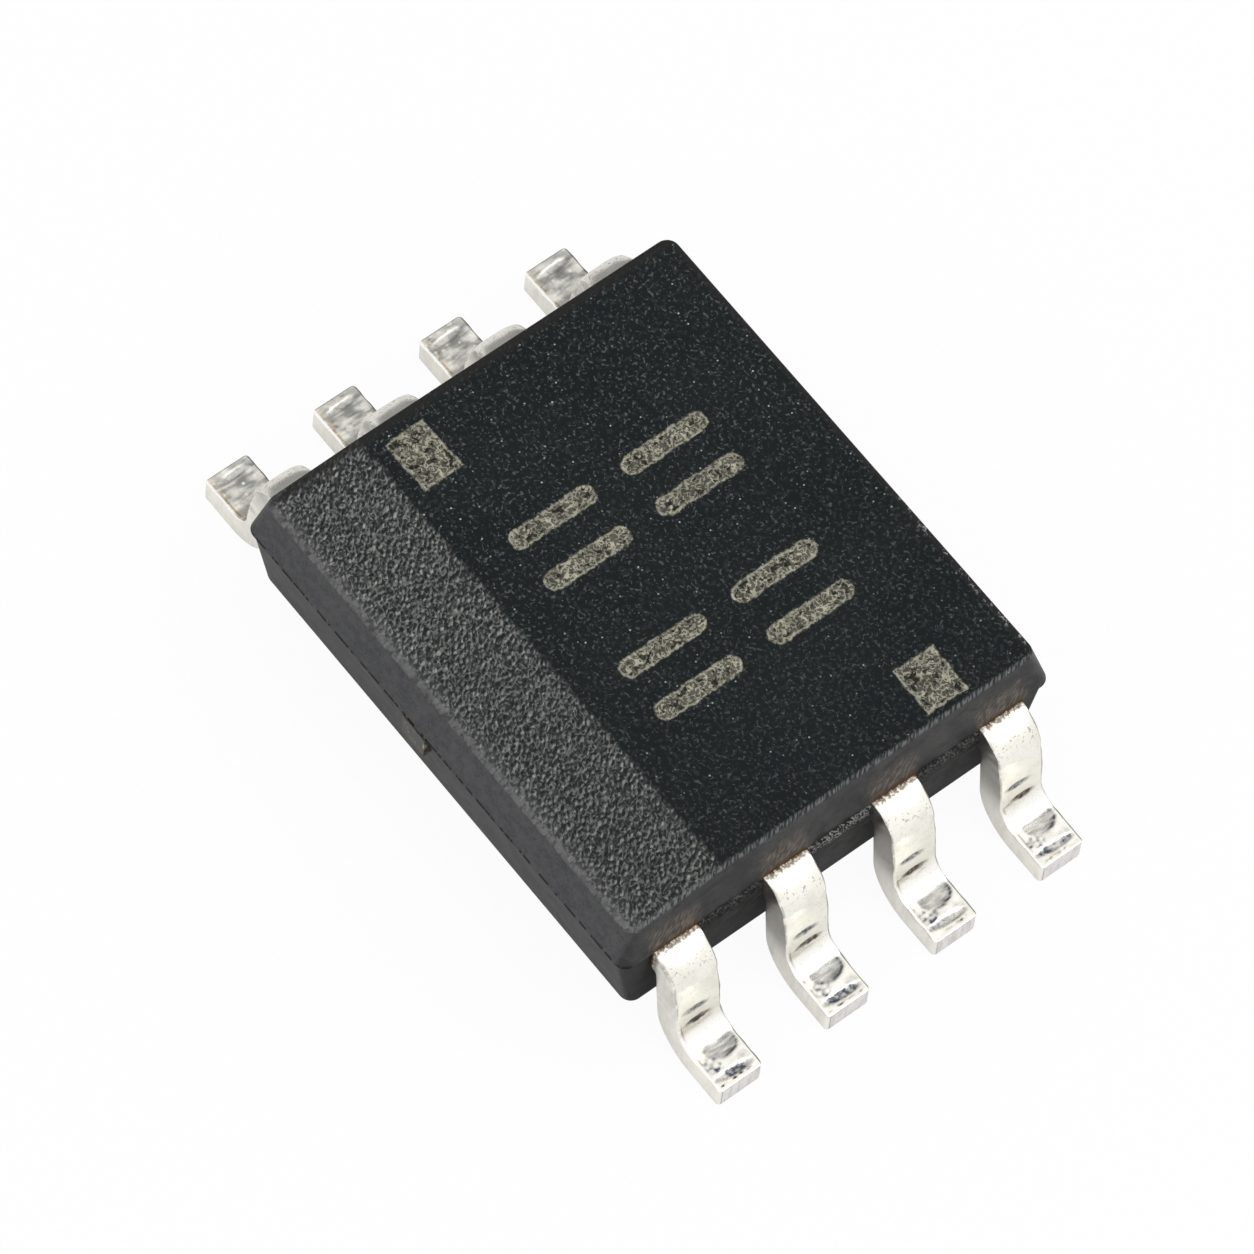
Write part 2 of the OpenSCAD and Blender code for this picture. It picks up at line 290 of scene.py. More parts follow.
class Value:
    """A number that changes over a surface. It wraps a socket, and each sign in an expression adds one
    Math node, so a formula is written as Python."""

    def __init__(self, graph, socket):
        self.graph = graph
        self.socket = socket

    def _math(self, operation, other=0.0, swapped=False):
        first, second = (other, self) if swapped else (self, other)
        return self.graph.node("ShaderNodeMath", {"operation": operation}, {0: first, 1: second})

    # The signs, the part above a whole number, and the smaller and the larger of two
    __add__ = partialmethod(_math, "ADD")
    __radd__ = partialmethod(_math, "ADD", swapped=True)
    __sub__ = partialmethod(_math, "SUBTRACT")
    __rsub__ = partialmethod(_math, "SUBTRACT", swapped=True)
    __mul__ = partialmethod(_math, "MULTIPLY")
    __rmul__ = partialmethod(_math, "MULTIPLY", swapped=True)
    __pow__ = partialmethod(_math, "POWER")
    __abs__ = partialmethod(_math, "ABSOLUTE")
    fraction = partialmethod(_math, "FRACT")
    least = partialmethod(_math, "MINIMUM")
    most = partialmethod(_math, "MAXIMUM")

    def rise(self, low, high):
        """A smooth step: 0 up to low, 1 from high on."""
        settings = {"interpolation_type": "SMOOTHSTEP"}
        return self.graph.node("ShaderNodeMapRange", settings,
                               {"Value": self, "From Min": low, "From Max": high})

    def fall(self, low, high):
        """A smooth step down: 1 up to low, 0 from high on."""
        return 1 - self.rise(low, high)

    def near(self, middle, reach):
        """1 at the middle, falling smoothly to 0 at that reach to both sides."""
        return abs(self - middle).fall(0.0, reach)


class Graph:
    """The nodes of one material, or of the world."""

    def __init__(self, owner):
        owner.use_nodes = True
        self.owner = owner
        self.tree = owner.node_tree
        self.tree.nodes.clear()

    def node(self, kind, settings=None, sockets=None, output=0):
        """Adds a node: its settings first, then the values or links of its sockets, and returns an output."""
        made = self.tree.nodes.new(kind)
        for key, value in (settings or {}).items():
            setattr(made, key, value)
        for key, value in (sockets or {}).items():
            self.feed(self.find(made.inputs, key), value)
        return Value(self, self.find(made.outputs, output)) if made.outputs else None

    @staticmethod
    def find(sockets, key):
        """A socket by its number, its identifier or its name."""
        if isinstance(key, int):
            return sockets[key]
        named = [s for s in sockets if s.identifier == key]
        return named[0] if named else sockets[key]

    def feed(self, socket, value):
        """Links a Value to a socket, or sets a plain number or colour on it."""
        if isinstance(value, Value):
            self.tree.links.new(value.socket, socket)
        elif socket.type == "RGBA":
            socket.default_value = (*value, 1.0)
        else:
            socket.default_value = value

    def beside(self, value, name):
        """Another output of the node that a value comes from."""
        return Value(self, value.socket.node.outputs[name])

    def place(self):
        """The point on the surface in millimetres, in the frame of the object."""
        return self.stretch(self.node("ShaderNodeTexCoord", output="Object"), (1 / MM, 1 / MM, 1 / MM))

    def parts(self, vector):
        """The three coordinates of a vector."""
        x = self.node("ShaderNodeSeparateXYZ", sockets={"Vector": vector})
        return x, self.beside(x, "Y"), self.beside(x, "Z")

    def vector(self, x, y, z):
        """A vector from three values."""
        return self.node("ShaderNodeCombineXYZ", sockets={"X": x, "Y": y, "Z": z})

    def stretch(self, vector, scale=(1.0, 1.0, 1.0), turn=(0.0, 0.0, 0.0), move=(0.0, 0.0, 0.0)):
        """A vector scaled along each axis, then turned and moved."""
        return self.node("ShaderNodeMapping", {"vector_type": "POINT"},
                         {"Vector": vector, "Scale": scale, "Rotation": turn, "Location": move})

    def noise(self, vector, scale, detail=1.0, roughness=0.5, distortion=0.0):
        """Cloud noise about 0.5, with that many waves to the millimetre."""
        return self.node("ShaderNodeTexNoise", {"noise_dimensions": "3D"},
                         {"Vector": vector, "Scale": scale, "Detail": detail, "Roughness": roughness,
                          "Distortion": distortion})

    def cells(self, vector, scale):
        """Scattered cells: the distance from the nearest middle, and one random number for each cell."""
        away = self.node("ShaderNodeTexVoronoi", {"feature": "F1", "voronoi_dimensions": "3D"},
                         {"Vector": vector, "Scale": scale})
        return away, self.parts(self.beside(away, "Color"))[0]

    def attribute(self, name):
        """A number stored on the mesh."""
        return self.node("ShaderNodeAttribute", {"attribute_name": name}, output="Fac")

    def mix(self, part, first, second):
        """A colour between two others."""
        return self.node("ShaderNodeMix", {"data_type": "RGBA", "clamp_factor": True},
                         {"Factor_Float": part, "A_Color": first, "B_Color": second}, output="Result_Color")

    def bump(self, height, depth):
        """A normal from a height between 0 and 1, for a relief of that depth in metres."""
        return self.node("ShaderNodeBump", sockets={"Height": height, "Distance": depth})

    def surface(self, sockets):
        """Ends the material in one Principled shader."""
        shader = self.node("ShaderNodeBsdfPrincipled", sockets=sockets)
        self.node("ShaderNodeOutputMaterial", sockets={"Surface": shader})
        return self.owner


def material_graph(name):
    """The empty node graph of a new material."""
    return Graph(bpy.data.materials.new(name))


def strokes(g, place, scale, width, cut):
    """Short curled strokes: the lines where a cloud noise passes its middle value, kept where a second noise
    is above cut."""
    line = abs(g.noise(place, scale, 0.0, distortion=0.4) - 0.5).fall(0.35 * width, width)
    return line * g.noise(place, 1.3 * scale, 0.0).rise(cut, cut + 0.09)


def grains(g, place, scale, part, size):
    """Scattered round grains: that part of the cells has a spot of that size, each of its own strength."""
    away, lot = g.cells(place, scale)
    return lot.rise(1 - part, 1.0) * away.fall(0.4 * size, size)


def bar_distance(x, y, middle, half, radius):
    """Signed distance to a bar with round ends that runs along Y."""
    along = (abs(y - middle[1]) - half).most(0.0)
    across = x - middle[0]
    return (along * along + across * across) ** 0.5 - radius


def block_distance(x, y, middle, half, turn):
    """Signed distance to a turned rectangle, exact along its sides."""
    c, s = math.cos(turn), math.sin(turn)
    across = (x - middle[0]) * c + (y - middle[1]) * s
    along = (y - middle[1]) * c - (x - middle[0]) * s
    return (abs(across) - half[0]).most(abs(along) - half[1])


def marks_distance(x, y):
    """Signed distance to the nearest laser mark: two index blocks and four pairs of plain bars."""
    marks = [block_distance(x, y, *block) for block in LASER_BLOCKS]
    for bar_x in LASER_BARS_X:
        for bar_y in LASER_BARS_Y:
            marks.append(bar_distance(x, y, (bar_x, bar_y), LASER_BAR_HALF, LASER_BAR_RADIUS))
    return reduce(Value.least, marks)


class BodyPlace:
    """Where a point of the body lies, in millimetres. Half_x and half_y are half sizes of the top face, low
    is 1 on the lower half, row_wall is 1 on the walls over the leads, and ragged is a noise about 0."""

    def __init__(self, g, sizes, leads):
        rise = sizes.top - sizes.parting
        self.p = g.place()
        self.x, self.y, self.z = g.parts(self.p)
        self.top, self.parting = sizes.top / MM, sizes.parting / MM
        self.half_x = (sizes.half_width - rise * math.tan(sizes.draft_side)) / MM
        self.half_y = (sizes.half_length - rise * math.tan(sizes.draft_end)) / MM
        self.strip_y = self.half_y - sizes.strip_width / MM
        self.pitch, self.half_lead = leads.pitch / MM, leads.width / 2 / MM
        self.low = self.z.fall(self.parting - 0.02, self.parting)
        self.row_wall = abs(self.x).rise(self.half_x - 0.01, self.half_x + 0.01)
        self.ragged = g.noise(self.p, 26.0, 2.0) - 0.5


def spark_texture(g, p, finishes):
    """The spark-textured top face: sparse bright grains and faint strokes on near black, which are painted
    glints of its rough face, painted a little brighter towards the rear. Gives colour and relief."""
    spark = grains(g, p, 54.0, 0.13, 0.29)
    glint_fleck = spark * (0.25 + 0.75 * spark) + 0.13 * strokes(g, p, 56.0, 0.10, 0.58)
    # Painted light: the glints are brighter towards the rear
    glint_fleck = glint_fleck * (0.75 + 0.35 * g.parts(p)[0].rise(-0.7, 0.5))
    glint_fleck = (glint_fleck + 0.03 * g.noise(p, 60.0, 1.0).rise(0.5, 0.7)).least(1.0)
    ground = g.mix(g.noise(p, 3.0, 2.0).rise(0.3, 0.7), finishes.resin_top, TOP_CLOUD)
    return g.mix(glint_fleck, ground, finishes.resin_painted_glint), glint_fleck


def strip_texture(g, p, finishes):
    """The rough index strip: close bumps, each with a painted highlight on one side and painted shade on the
    other, with fine strokes and a few bright points that are painted glints too. The highlight is painted
    where the bump at a place beside it is lower, and the strip a little lighter towards the rear. Gives
    colour and relief."""
    lean = g.stretch(g.stretch(p, turn=(0.0, 0.0, STRIP_GRAIN_TURN)), (0.70, 1.0, 1.0))
    bump, lot = g.cells(lean, STRIP_GRAIN)
    beside = g.cells(g.stretch(lean, move=(0.003, 0.0038, 0.0)), STRIP_GRAIN)[0]
    # Painted highlight (lit) and painted shade (dark) on opposite sides of each bump
    lit = (beside - bump).rise(0.08, 0.26)
    dark = (bump - beside).rise(0.04, 0.22)
    fine = strokes(g, lean, 58.0, 0.12, 0.38)
    rough = lit * (0.10 + 0.44 * lot) + 0.24 * fine + 0.09 * g.noise(p, 75.0, 1.0).rise(0.42, 0.66)
    rough = rough * (1 - 0.7 * dark) + 0.40 * grains(g, p, 60.0, 0.12, 0.30)
    # Painted light: lighter towards the rear
    rough = (rough * (0.86 + 0.26 * g.parts(p)[0].rise(-1.1, 1.1))).least(1.0)
    ground = g.mix(dark, finishes.strip_dark, STRIP_SHADE)
    return g.mix(rough, ground, finishes.strip_grains_and_highlights), rough


def laser_texture(g, p, depth, finishes):
    """The laser marks: thin pale curled lines round small burnt spots on mottled resin, with a pale outline,
    by the depth inside the mark's edge. Gives colour and relief."""
    shifted = g.stretch(p, move=(2.0, 7.0, 0.0))
    tone = g.noise(shifted, 22.0, 2.0, 0.6).rise(0.36, 0.66)
    pit = g.noise(shifted, 38.0, 1.0, 0.5, 0.5).rise(0.57, 0.65) * depth.rise(0.006, 0.014)
    net = strokes(g, p, 48.0, 0.085, 0.33).most(0.8 * strokes(g, shifted, 66.0, 0.11, 0.42))
    net = net * (0.50 + 0.50 * tone)
    net = net.most(0.70 * depth.near(0.006, 0.008) * g.noise(p, 55.0, 1.0).rise(0.42, 0.56))
    net = net * (1 - 0.9 * pit)
    ground = g.mix(tone, LASER_DIM, finishes.laser_ground)
    return g.mix(net, g.mix(pit, ground, finishes.laser_pit), finishes.laser_line), net


def index_strip(g, at, finishes):
    """The index strip, paler towards its end, with a lumpy rim there and a ragged inner border. Gives colour,
    relief and the place of the strip."""
    strip, rough = strip_texture(g, at.p, finishes)
    outer = at.y.rise(at.half_y - 0.085, at.half_y - 0.005)
    strip = g.mix(outer * (0.16 + 0.40 * rough), strip, STRIP_EDGE)
    away, lot = g.cells(g.stretch(at.p, (1.0, 0.7, 1.0)), 56.0)
    lump = (away + 0.4 * g.noise(at.p, 80.0, 2.0)).fall(0.74, 1.02)
    bead_tone = g.mix(lump, BEAD_GAP, g.mix(lot, BEAD_GREY, BEAD_PALE))
    bead = (at.y + 0.012 * lot).rise(at.half_y - 0.018, at.half_y - 0.006)
    inside = (at.y + at.ragged * 0.03).rise(at.strip_y - 0.010, at.strip_y + 0.010)
    return g.mix(bead * 0.8, strip, bead_tone), rough, inside


def worn_rims(g, at, face):
    """The rims of the top face: a row of slanted pale ticks at the front, plain dark bands at the rear and at
    the far end, and pale chips near the front of the far end. Gives colour and the relief of the ticks."""
    x, y = at.x, at.y
    high = at.z.rise(at.top - 0.045, at.top - 0.020)
    ticks = g.noise(g.vector(x * 30.0, y * 84.0 + x * 66.0, 0.0), 1.0, 1.0).rise(0.45, 0.57)
    front = (x + at.half_x).fall(0.008, 0.022) * high
    rear = (at.half_x - x).fall(0.020, 0.055) * high
    far_end = (y + at.half_y).fall(0.008, 0.034) * high
    chips = g.noise(at.p, 40.0, 3.0, 0.7).rise(0.56, 0.64) * far_end * x.fall(-0.45, -0.05)
    face = g.mix(front * (0.12 + 0.70 * ticks), face, RIM_TICK)
    face = g.mix(rear * 0.85, face, RIM_REAR)
    face = g.mix(far_end * 0.85, face, RIM_FAR)
    return g.mix(chips * 0.9, face, RIM_CHIP), front * ticks


def top_face(g, at, finishes):
    """The top face with its strip, laser marks and rims. Gives colour, relief and the place of the marks."""
    face, glint_fleck = spark_texture(g, at.p, finishes)
    strip, rough, in_strip = index_strip(g, at, finishes)
    face = g.mix(in_strip, face, strip)
    wander = (g.noise(at.p, 34.0, 2.0) - 0.5) * 0.022
    depth = 0 - (marks_distance(at.x, at.y) + wander)
    marked = depth.rise(-0.004, 0.004) * at.z.rise(at.top - 0.03, at.top - 0.015)
    laser, net = laser_texture(g, at.p, depth, finishes)
    face, ticks = worn_rims(g, at, g.mix(marked, face, laser))
    return face, 0.5 * glint_fleck + 0.8 * in_strip * rough + 0.5 * marked * net + 0.5 * ticks, marked


def plain_walls(g, at, finishes):
    """Smooth walls, clouded and speckled: the upper end walls painted lighter than the walls over the leads
    as painted light, the lower half darker as painted shade, scuffed over the leads, blotched on the ends,
    with a few pale motes. Gives the colour."""
    p, low, row_wall = at.p, at.low, at.row_wall
    # Painted light: the end walls get a lighter copy of the resin than the walls over the leads
    upper = g.mix(row_wall, finishes.resin_end_painted_light, finishes.resin_side)
    # Painted shade: the lower half is darker than the upper
    wall = g.mix(low, upper, g.mix(row_wall, finishes.resin_low, LOW_SIDE_PAINTED_SHADE))
    wall = g.mix(g.noise(p, 8.0, 5.0, 0.7).rise(0.35, 0.68) * 0.45, wall, WALL_CLOUD)
    wall = g.mix(g.noise(p, 85.0, 2.0).fall(0.38, 0.56) * 0.5, wall, WALL_SPECK)
    scuff = g.noise(g.stretch(p, (5.0, 9.0, 24.0)), 1.0, 3.0, 0.6).fall(0.36, 0.50)
    wall = g.mix(row_wall * 0.7 * scuff, wall, WALL_SCUFF)
    blotch = g.noise(p, 20.0, 4.0, 0.7).rise(0.42, 0.62)
    wall = g.mix((1 - row_wall) * (1 - low) * 0.45 * blotch, wall, END_BLOTCH)
    # Painted shade on the lower end walls, blotched by the noise
    wall = g.mix((1 - row_wall) * low * (0.25 + 0.6 * blotch), wall, LOW_END_SHADE_BLOTCH)
    return g.mix(grains(g, p, 15.0, 0.10, 0.11), wall, WALL_MOTE)


def lead_patches(g, at, wall):
    """A rough warm patch over each lead, and brown dirt where the lead leaves the body. Gives colour and
    relief."""
    x, y, z, half = at.x, at.y, at.z, at.half_lead
    off_lead = abs((y * (1 / at.pitch)).fraction() - 0.5) * at.pitch
    above = (z + at.ragged * 0.10).fall(at.parting + 0.07, at.parting + 0.17)
    above = above * z.rise(at.parting - 0.012, at.parting) * at.row_wall
    patch = (off_lead + at.ragged * 0.10).fall(half - 0.035, half + 0.035) * above
    scuff = g.noise(g.vector(x * 40.0, y * 90.0 + z * 60.0, z * 34.0), 1.0, 2.0, 0.6).rise(0.42, 0.64)
    wall = g.mix(patch * (0.14 + 0.80 * scuff), wall, LEAD_PATCH)
    dirt = off_lead.fall(half - 0.002, half + 0.025) * at.row_wall
    dirt = dirt * (z + at.ragged * 0.03).near(at.parting, 0.034)
    return g.mix(dirt, wall, LEAD_DIRT), patch * scuff


def parting_line(g, at, wall):
    """The parting line on the ends: dark gaps and pale chips along it, with dust about. Gives the colour."""
    end_wall = abs(at.y).rise(at.half_y + 0.005, at.half_y + 0.02)
    along = g.stretch(at.p, (1.0, 0.0, 0.0))
    seam = abs(at.z - at.parting - 0.006).fall(0.004, 0.009) * end_wall
    wall = g.mix(seam * g.noise(along, 19.0, 2.0, 0.6).fall(0.49, 0.53), wall, SEAM_GAP)
    wall = g.mix(seam * grains(g, along, 12.0, 0.45, 0.12), wall, SEAM_CHIP)
    dust = grains(g, at.p, 34.0, 0.10, 0.14) * at.z.near(at.parting, 0.10) * end_wall
    return g.mix(dust, wall, SEAM_DUST)


def broken_flash(g, at, wall, flash):
    """Flash between the leads: broken resin with a crust along its top, palest in the middle gap. The lower
    walls get painted shade towards the strip's end. Gives colour, relief and the place of the crust."""
    crust = at.z.rise(at.parting - 0.072, at.parting - 0.044)
    broken = 0.7 * strokes(g, at.p, 84.0, 0.17, 0.40) + grains(g, at.p, 80.0, 0.4, 0.45)
    broken = (broken * (0.04 + 0.96 * crust)).least(1.0)
    pale = g.mix(abs(at.y).fall(0.20, 0.40), FLASH_GREY, FLASH_PALE)
    wall = g.mix(flash, wall, g.mix(broken, FLASH_DARK, pale))
    # Painted shade on the lower walls towards the strip's end
    shade = at.low * at.row_wall * at.y.rise(0.25, 0.45)
    return g.mix(shade * 0.55, wall, GAP_SHADE), flash * broken, flash * crust


def mold_compound(sizes, leads, finishes):
    """Black moulding resin: a spark-textured top, a rough index strip, laser marks, smooth walls with rough
    patches over the leads, broken flash between them, a chipped parting line and chipped, ticked rims. Glints
    on the top and the strip, and light and shade on the walls, are painted into the colour."""
    g = material_graph("mold_compound")
    at = BodyPlace(g, sizes, leads)
    skin = g.attribute("skin")
    face, face_relief, marked = top_face(g, at, finishes)
    wall, patch_relief = lead_patches(g, at, plain_walls(g, at, finishes))
    wall = parting_line(g, at, wall)
    wall, flash_relief, crust = broken_flash(g, at, wall, g.attribute("flash"))
    wall_relief = 0.6 * patch_relief + 0.9 * flash_relief + 0.05 * g.noise(at.p, 90.0, 1.0)
    gloss = 0.42 + 0.20 * skin + 0.12 * marked * skin + 0.22 * crust + 0.14 * at.low * at.row_wall
    return g.surface({"Base Color": g.mix(skin, wall, face), "Specular IOR Level": 0.16,
                      "Roughness": gloss + 0.12 * g.noise(at.p, 12.0, 2.0),
                      "Normal": g.bump(skin * face_relief + (1 - skin) * wall_relief, RESIN_RELIEF)})


class LeadPlace:
    """Where a point of a lead lies, by the numbers on its mesh: u along its top face and v across it, from +Y
    to -Y, in millimetres. Half is half the lead's width. Top, side and under are the faces that point up,
    sideways and down, and the row flag is 1 on the rear row. Cloud and shear are noises, the second upright."""

    def __init__(self, g, sizes):
        self.p = g.place()
        self.y = g.parts(self.p)[1]
        self.u, self.v, up = [g.attribute(key) for key in ("along", "across", "up")]
        self.stain, self.pressed, self.rear_row = [g.attribute(key) for key in ("stain", "pressed", "rear_row")]
        self.half = sizes.width / 2 / MM
        self.top = up.rise(0.6, 0.9)
        self.side = abs(up).fall(0.15, 0.6)
        self.under = up.fall(-0.75, -0.20)
        self.cloud = g.noise(self.p, 11.0, 3.0, 0.6)
        self.shear = g.noise(g.stretch(self.p, (38.0, 38.0, 7.0)), 1.0, 2.0, 0.6)


def sheared_sides(g, at, tone):
    """Sheared sides: grey and streaked through the thickness, with painted shade at the limb where they face
    another lead of the front row. Gives the colour."""
    tone = g.mix(at.side * 0.32 * at.shear.rise(0.45, 0.65), tone, TIN_SHEARED)
    # Painted shade on the limb's +Y side where a front lead faces its neighbour
    facing_shade = at.side * at.v.fall(0.008 - at.half, 0.016 - at.half) * at.y.fall(0.45, 0.55)
    return g.mix(facing_shade * (1 - at.rear_row) * at.u.fall(0.34, 0.58) * 0.78, tone, TIN_PAINTED_SHADE)


def rear_row_tones(g, at, tone):
    """The rear row: painted shade on the shoulder, grey streaks across the foot broken by bright specks that
    are painted glints, and a painted highlight along the +Y edge. Gives the colour."""
    u, v, rear_row = at.u, at.v, at.rear_row
    # Painted shade on the rear shoulder
    tone = g.mix(rear_row * u.fall(0.16, 0.34) * (0.25 + 0.4 * at.cloud), tone, REAR_SHOULDER_PAINTED_SHADE)
    streak = g.noise(g.vector(u * 24.0, v * 9.0, rear_row), 1.0, 2.0, 0.55).rise(0.38, 0.66)
    greyed = rear_row * at.top * u.rise(0.36, 0.46) * (0.10 + 0.90 * streak).most(u.fall(0.47, 0.56))
    # Painted glints: bright specks left in the grey
    painted_glints = (1.7 * grains(g, at.p, 22.0, 0.36, 0.45)).most(1.5 * grains(g, at.p, 46.0, 0.28, 0.45))
    greyed = greyed * (1 - painted_glints.least(1.0)) * (1 - 0.45 * u.rise(0.72, 0.77))
    tone = g.mix(greyed, tone, g.mix(u.fall(0.46, 0.58), REAR_FOOT_GREY, REAR_HEEL_GREY))
    # Painted highlight along the rear feet's +Y edge
    edge_highlight = rear_row * at.top * v.fall(0.015 - at.half, 0.038 - at.half) * u.rise(0.45, 0.5)
    return g.mix(edge_highlight * g.noise(at.p, 40.0, 2.0).rise(0.35, 0.6) * 0.7, tone, REAR_EDGE_PAINTED_HIGHLIGHT)


def lead_edges(g, at, tone):
    """Edges: painted shade as dark outlines along both sides, a painted shadow underneath, and on the foot a
    painted highlight as a bright bevel, with a brown line at the +Y edge. Gives the colour."""
    u, v, half = at.u, at.v, at.half
    outside = u.rise(0.05, 0.10)
    on_foot = u.rise(0.44, 0.50) * at.top
    # Painted shade along the -Y edge, and a painted shadow on the faces that point down
    tone = g.mix(v.rise(half - 0.010, half - 0.003) * outside * 0.75, tone, EDGE_PAINTED_SHADE)
    tone = g.mix(at.under * outside * 0.8, tone, UNDER_PAINTED_SHADOW)
    # Painted shade along the +Y edge of the limb
    line = v.near(0.004 - half, 0.006) * outside * u.fall(0.36, 0.46)
    tone = g.mix(line * g.noise(at.p, 30.0, 1.0).rise(0.34, 0.5) * 0.5, tone, TIN_PAINTED_SHADE)
    # Painted highlight on the foot's +Y edge
    tone = g.mix(v.fall(0.010 - half, 0.016 - half) * on_foot, tone, BEVEL_PAINTED_HIGHLIGHT)
    brown = v.near(0.018 - half, 0.007) * on_foot * u.fall(0.64, 0.73)
    return g.mix(brown * g.noise(at.p, 22.0, 2.0).rise(0.36, 0.52) * 0.7, tone, EDGE_BROWN)


def pressed_foot(g, at, tone, finishes):
    """What the tool left: a streaked grey oval print, a greyer cut tip with a dark upright edge, and
    blue-grey stains that are brown in the second groove and by the tip. Before the print a bright band is a
    painted highlight. Gives colour, relief and the stains."""
    u, v = at.u, at.v
    streaks = g.noise(g.vector(u * 85.0, v * 16.0, at.y * 3.0), 1.0, 3.0, 0.6).rise(0.32, 0.68)
    tone = g.mix((at.pressed * (0.55 + 0.78 * streaks)).least(1.0), tone, TIN_PRINT)
    # Painted highlight: a bright band on the front feet before the print
    foot_highlight = u.near(PRINT_U - 0.060, 0.055) * at.top * (1 - at.rear_row)
    tone = g.mix(foot_highlight * 0.8, tone, TIN_PAINTED_HIGHLIGHT)
    tip = u.rise(0.7712, 0.7742)
    tone = g.mix(tip * 0.9, tone, g.mix(at.shear.rise(0.40, 0.66), TIP_PALE, TIP_GREY))
    tone = g.mix(v.near(0.014 - at.half, 0.0035) * tip * 0.6, tone, TIP_EDGE)
    fine = g.noise(at.p, 60.0, 3.0, 0.7)
    mark = (at.stain * (0.70 + 0.6 * fine.rise(0.35, 0.65))).least(1.0)
    brown = u.near(GROOVE_2_U + 0.003, 0.03).most(u.rise(0.744, 0.752))
    tone = g.mix(mark, tone, g.mix(brown, finishes.tin_blue, finishes.tin_brown))
    return tone, mark * fine, mark


def bare_exit(g, at, tone):
    """Where the lead leaves the resin: brown copper and resin, broken by bright spikes along the lead. Gives
    the colour and the place."""
    hair = g.noise(g.vector(at.u * 26.0, at.v * 52.0, 0.0), 1.0, 4.0, 0.75, 0.6)
    speck = g.noise(at.p, 62.0, 2.0, 0.6).rise(0.40, 0.56)
    from_body = at.u - 0.020 + (hair - 0.5) * (0.030 + 0.08 * g.noise(at.p, 14.0, 1.0))
    tone = g.mix(from_body.fall(0.016, 0.044) * speck * 0.9, tone, EXIT_SPECK)
    tone = g.mix(from_body.fall(0.004, 0.013), tone, EXIT_BROWN)
    return g.mix(from_body.fall(-0.010, 0.002), tone, EXIT_DARK), from_body.fall(0.016, 0.04)


def tin_plate(sizes, finishes):
    """Tin on formed copper: bright and warm, pitted, with stained tool marks at the heel and on the foot, and
    bare brown copper where it leaves the resin. Highlights, glints and shade at the edges, the sides, the
    feet and the rear row are painted into the colour."""
    g = material_graph("tin_plate")
    at = LeadPlace(g, sizes)
    tone = g.mix(at.cloud.rise(0.40, 0.70), finishes.tin, TIN_CLOUD)
    tone = lead_edges(g, at, rear_row_tones(g, at, sheared_sides(g, at, tone)))
    tone, mark_relief, mark = pressed_foot(g, at, tone, finishes)

    # Pits and short scratches, most of them below the shoulder
    pitted = (0.22 + 0.78 * at.u.near(0.135, 0.055)) * at.top
    pit = grains(g, at.p, 38.0, 0.34, 0.20).most(0.6 * strokes(g, at.p, 62.0, 0.09, 0.55)) * pitted
    tone, bare = bare_exit(g, at, g.mix(pit, tone, TIN_PIT))

    grain = g.noise(at.p, 75.0, 2.0, 0.6)
    limb = at.u.rise(0.22, 0.28) * at.u.fall(0.46, 0.50) * at.top
    gloss = 0.22 + 0.22 * limb + 0.08 * grain + 0.08 * at.side + 0.10 * mark + 0.2 * pit + 0.3 * bare
    relief = 0.22 * grain - 0.6 * pit + 0.6 * mark_relief
    return g.surface({"Base Color": tone, "Metallic": 1.0, "Roughness": gloss,
                      "Normal": g.bump(relief, TIN_RELIEF)})


def cut_copper(finishes):
    """Copper alloy strip. The cut ends of the tie bars are smeared with resin and scratched bright."""
    g = material_graph("copper_alloy")
    p = g.place()
    shear = g.noise(g.stretch(p, (1.0, 1.0, 0.2)), 60.0, 3.0, 0.6)
    tone = g.mix(shear.rise(0.35, 0.7), finishes.copper, COPPER_STREAK)
    cut_end = abs(g.parts(p)[1]).rise(0.93, 0.95)
    smear = g.mix(g.noise(p, 20.0, 2.0).rise(0.4, 0.7), SMEAR_DARK, SMEAR_BROWN)
    smear = g.mix(strokes(g, g.stretch(p, (1.0, 1.0, 0.5)), 34.0, 0.06, 0.60), smear, SMEAR_GLINT)
    return g.surface({"Base Color": g.mix(cut_end, tone, smear), "Metallic": 1 - 0.75 * cut_end,
                      "Roughness": 0.34 + 0.2 * shear, "Normal": g.bump(shear, INNER_RELIEF)})


def die_silicon():
    """Silicon: polished, with the fine blocks of its circuit."""
    g = material_graph("silicon")
    away, lot = g.cells(g.stretch(g.place(), (1.0, 0.6, 0.2)), 16.0)
    tone = g.mix(lot, SILICON_BLUE, SILICON_GREY)
    return g.surface({"Base Color": tone, "Metallic": 0.6, "Roughness": 0.18 + 0.2 * away})


def attach_epoxy():
    """Silver-filled adhesive: pale grey flakes."""
    g = material_graph("die_attach_epoxy")
    flakes = g.noise(g.place(), 80.0, 3.0, 0.7)
    tone = g.mix(flakes.rise(0.35, 0.7), SILVER_GREY, SILVER_PALE)
    return g.surface({"Base Color": tone, "Metallic": 0.7, "Roughness": 0.4 + 0.25 * flakes,
                      "Normal": g.bump(flakes, INNER_RELIEF)})


def gold_wire():
    """Drawn gold wire."""
    g = material_graph("gold_wire")
    drawn = g.noise(g.place(), 90.0, 2.0)
    tone = g.mix(drawn, GOLD_DEEP, GOLD_PALE)
    return g.surface({"Base Color": tone, "Metallic": 1.0, "Roughness": 0.18 + 0.15 * drawn})


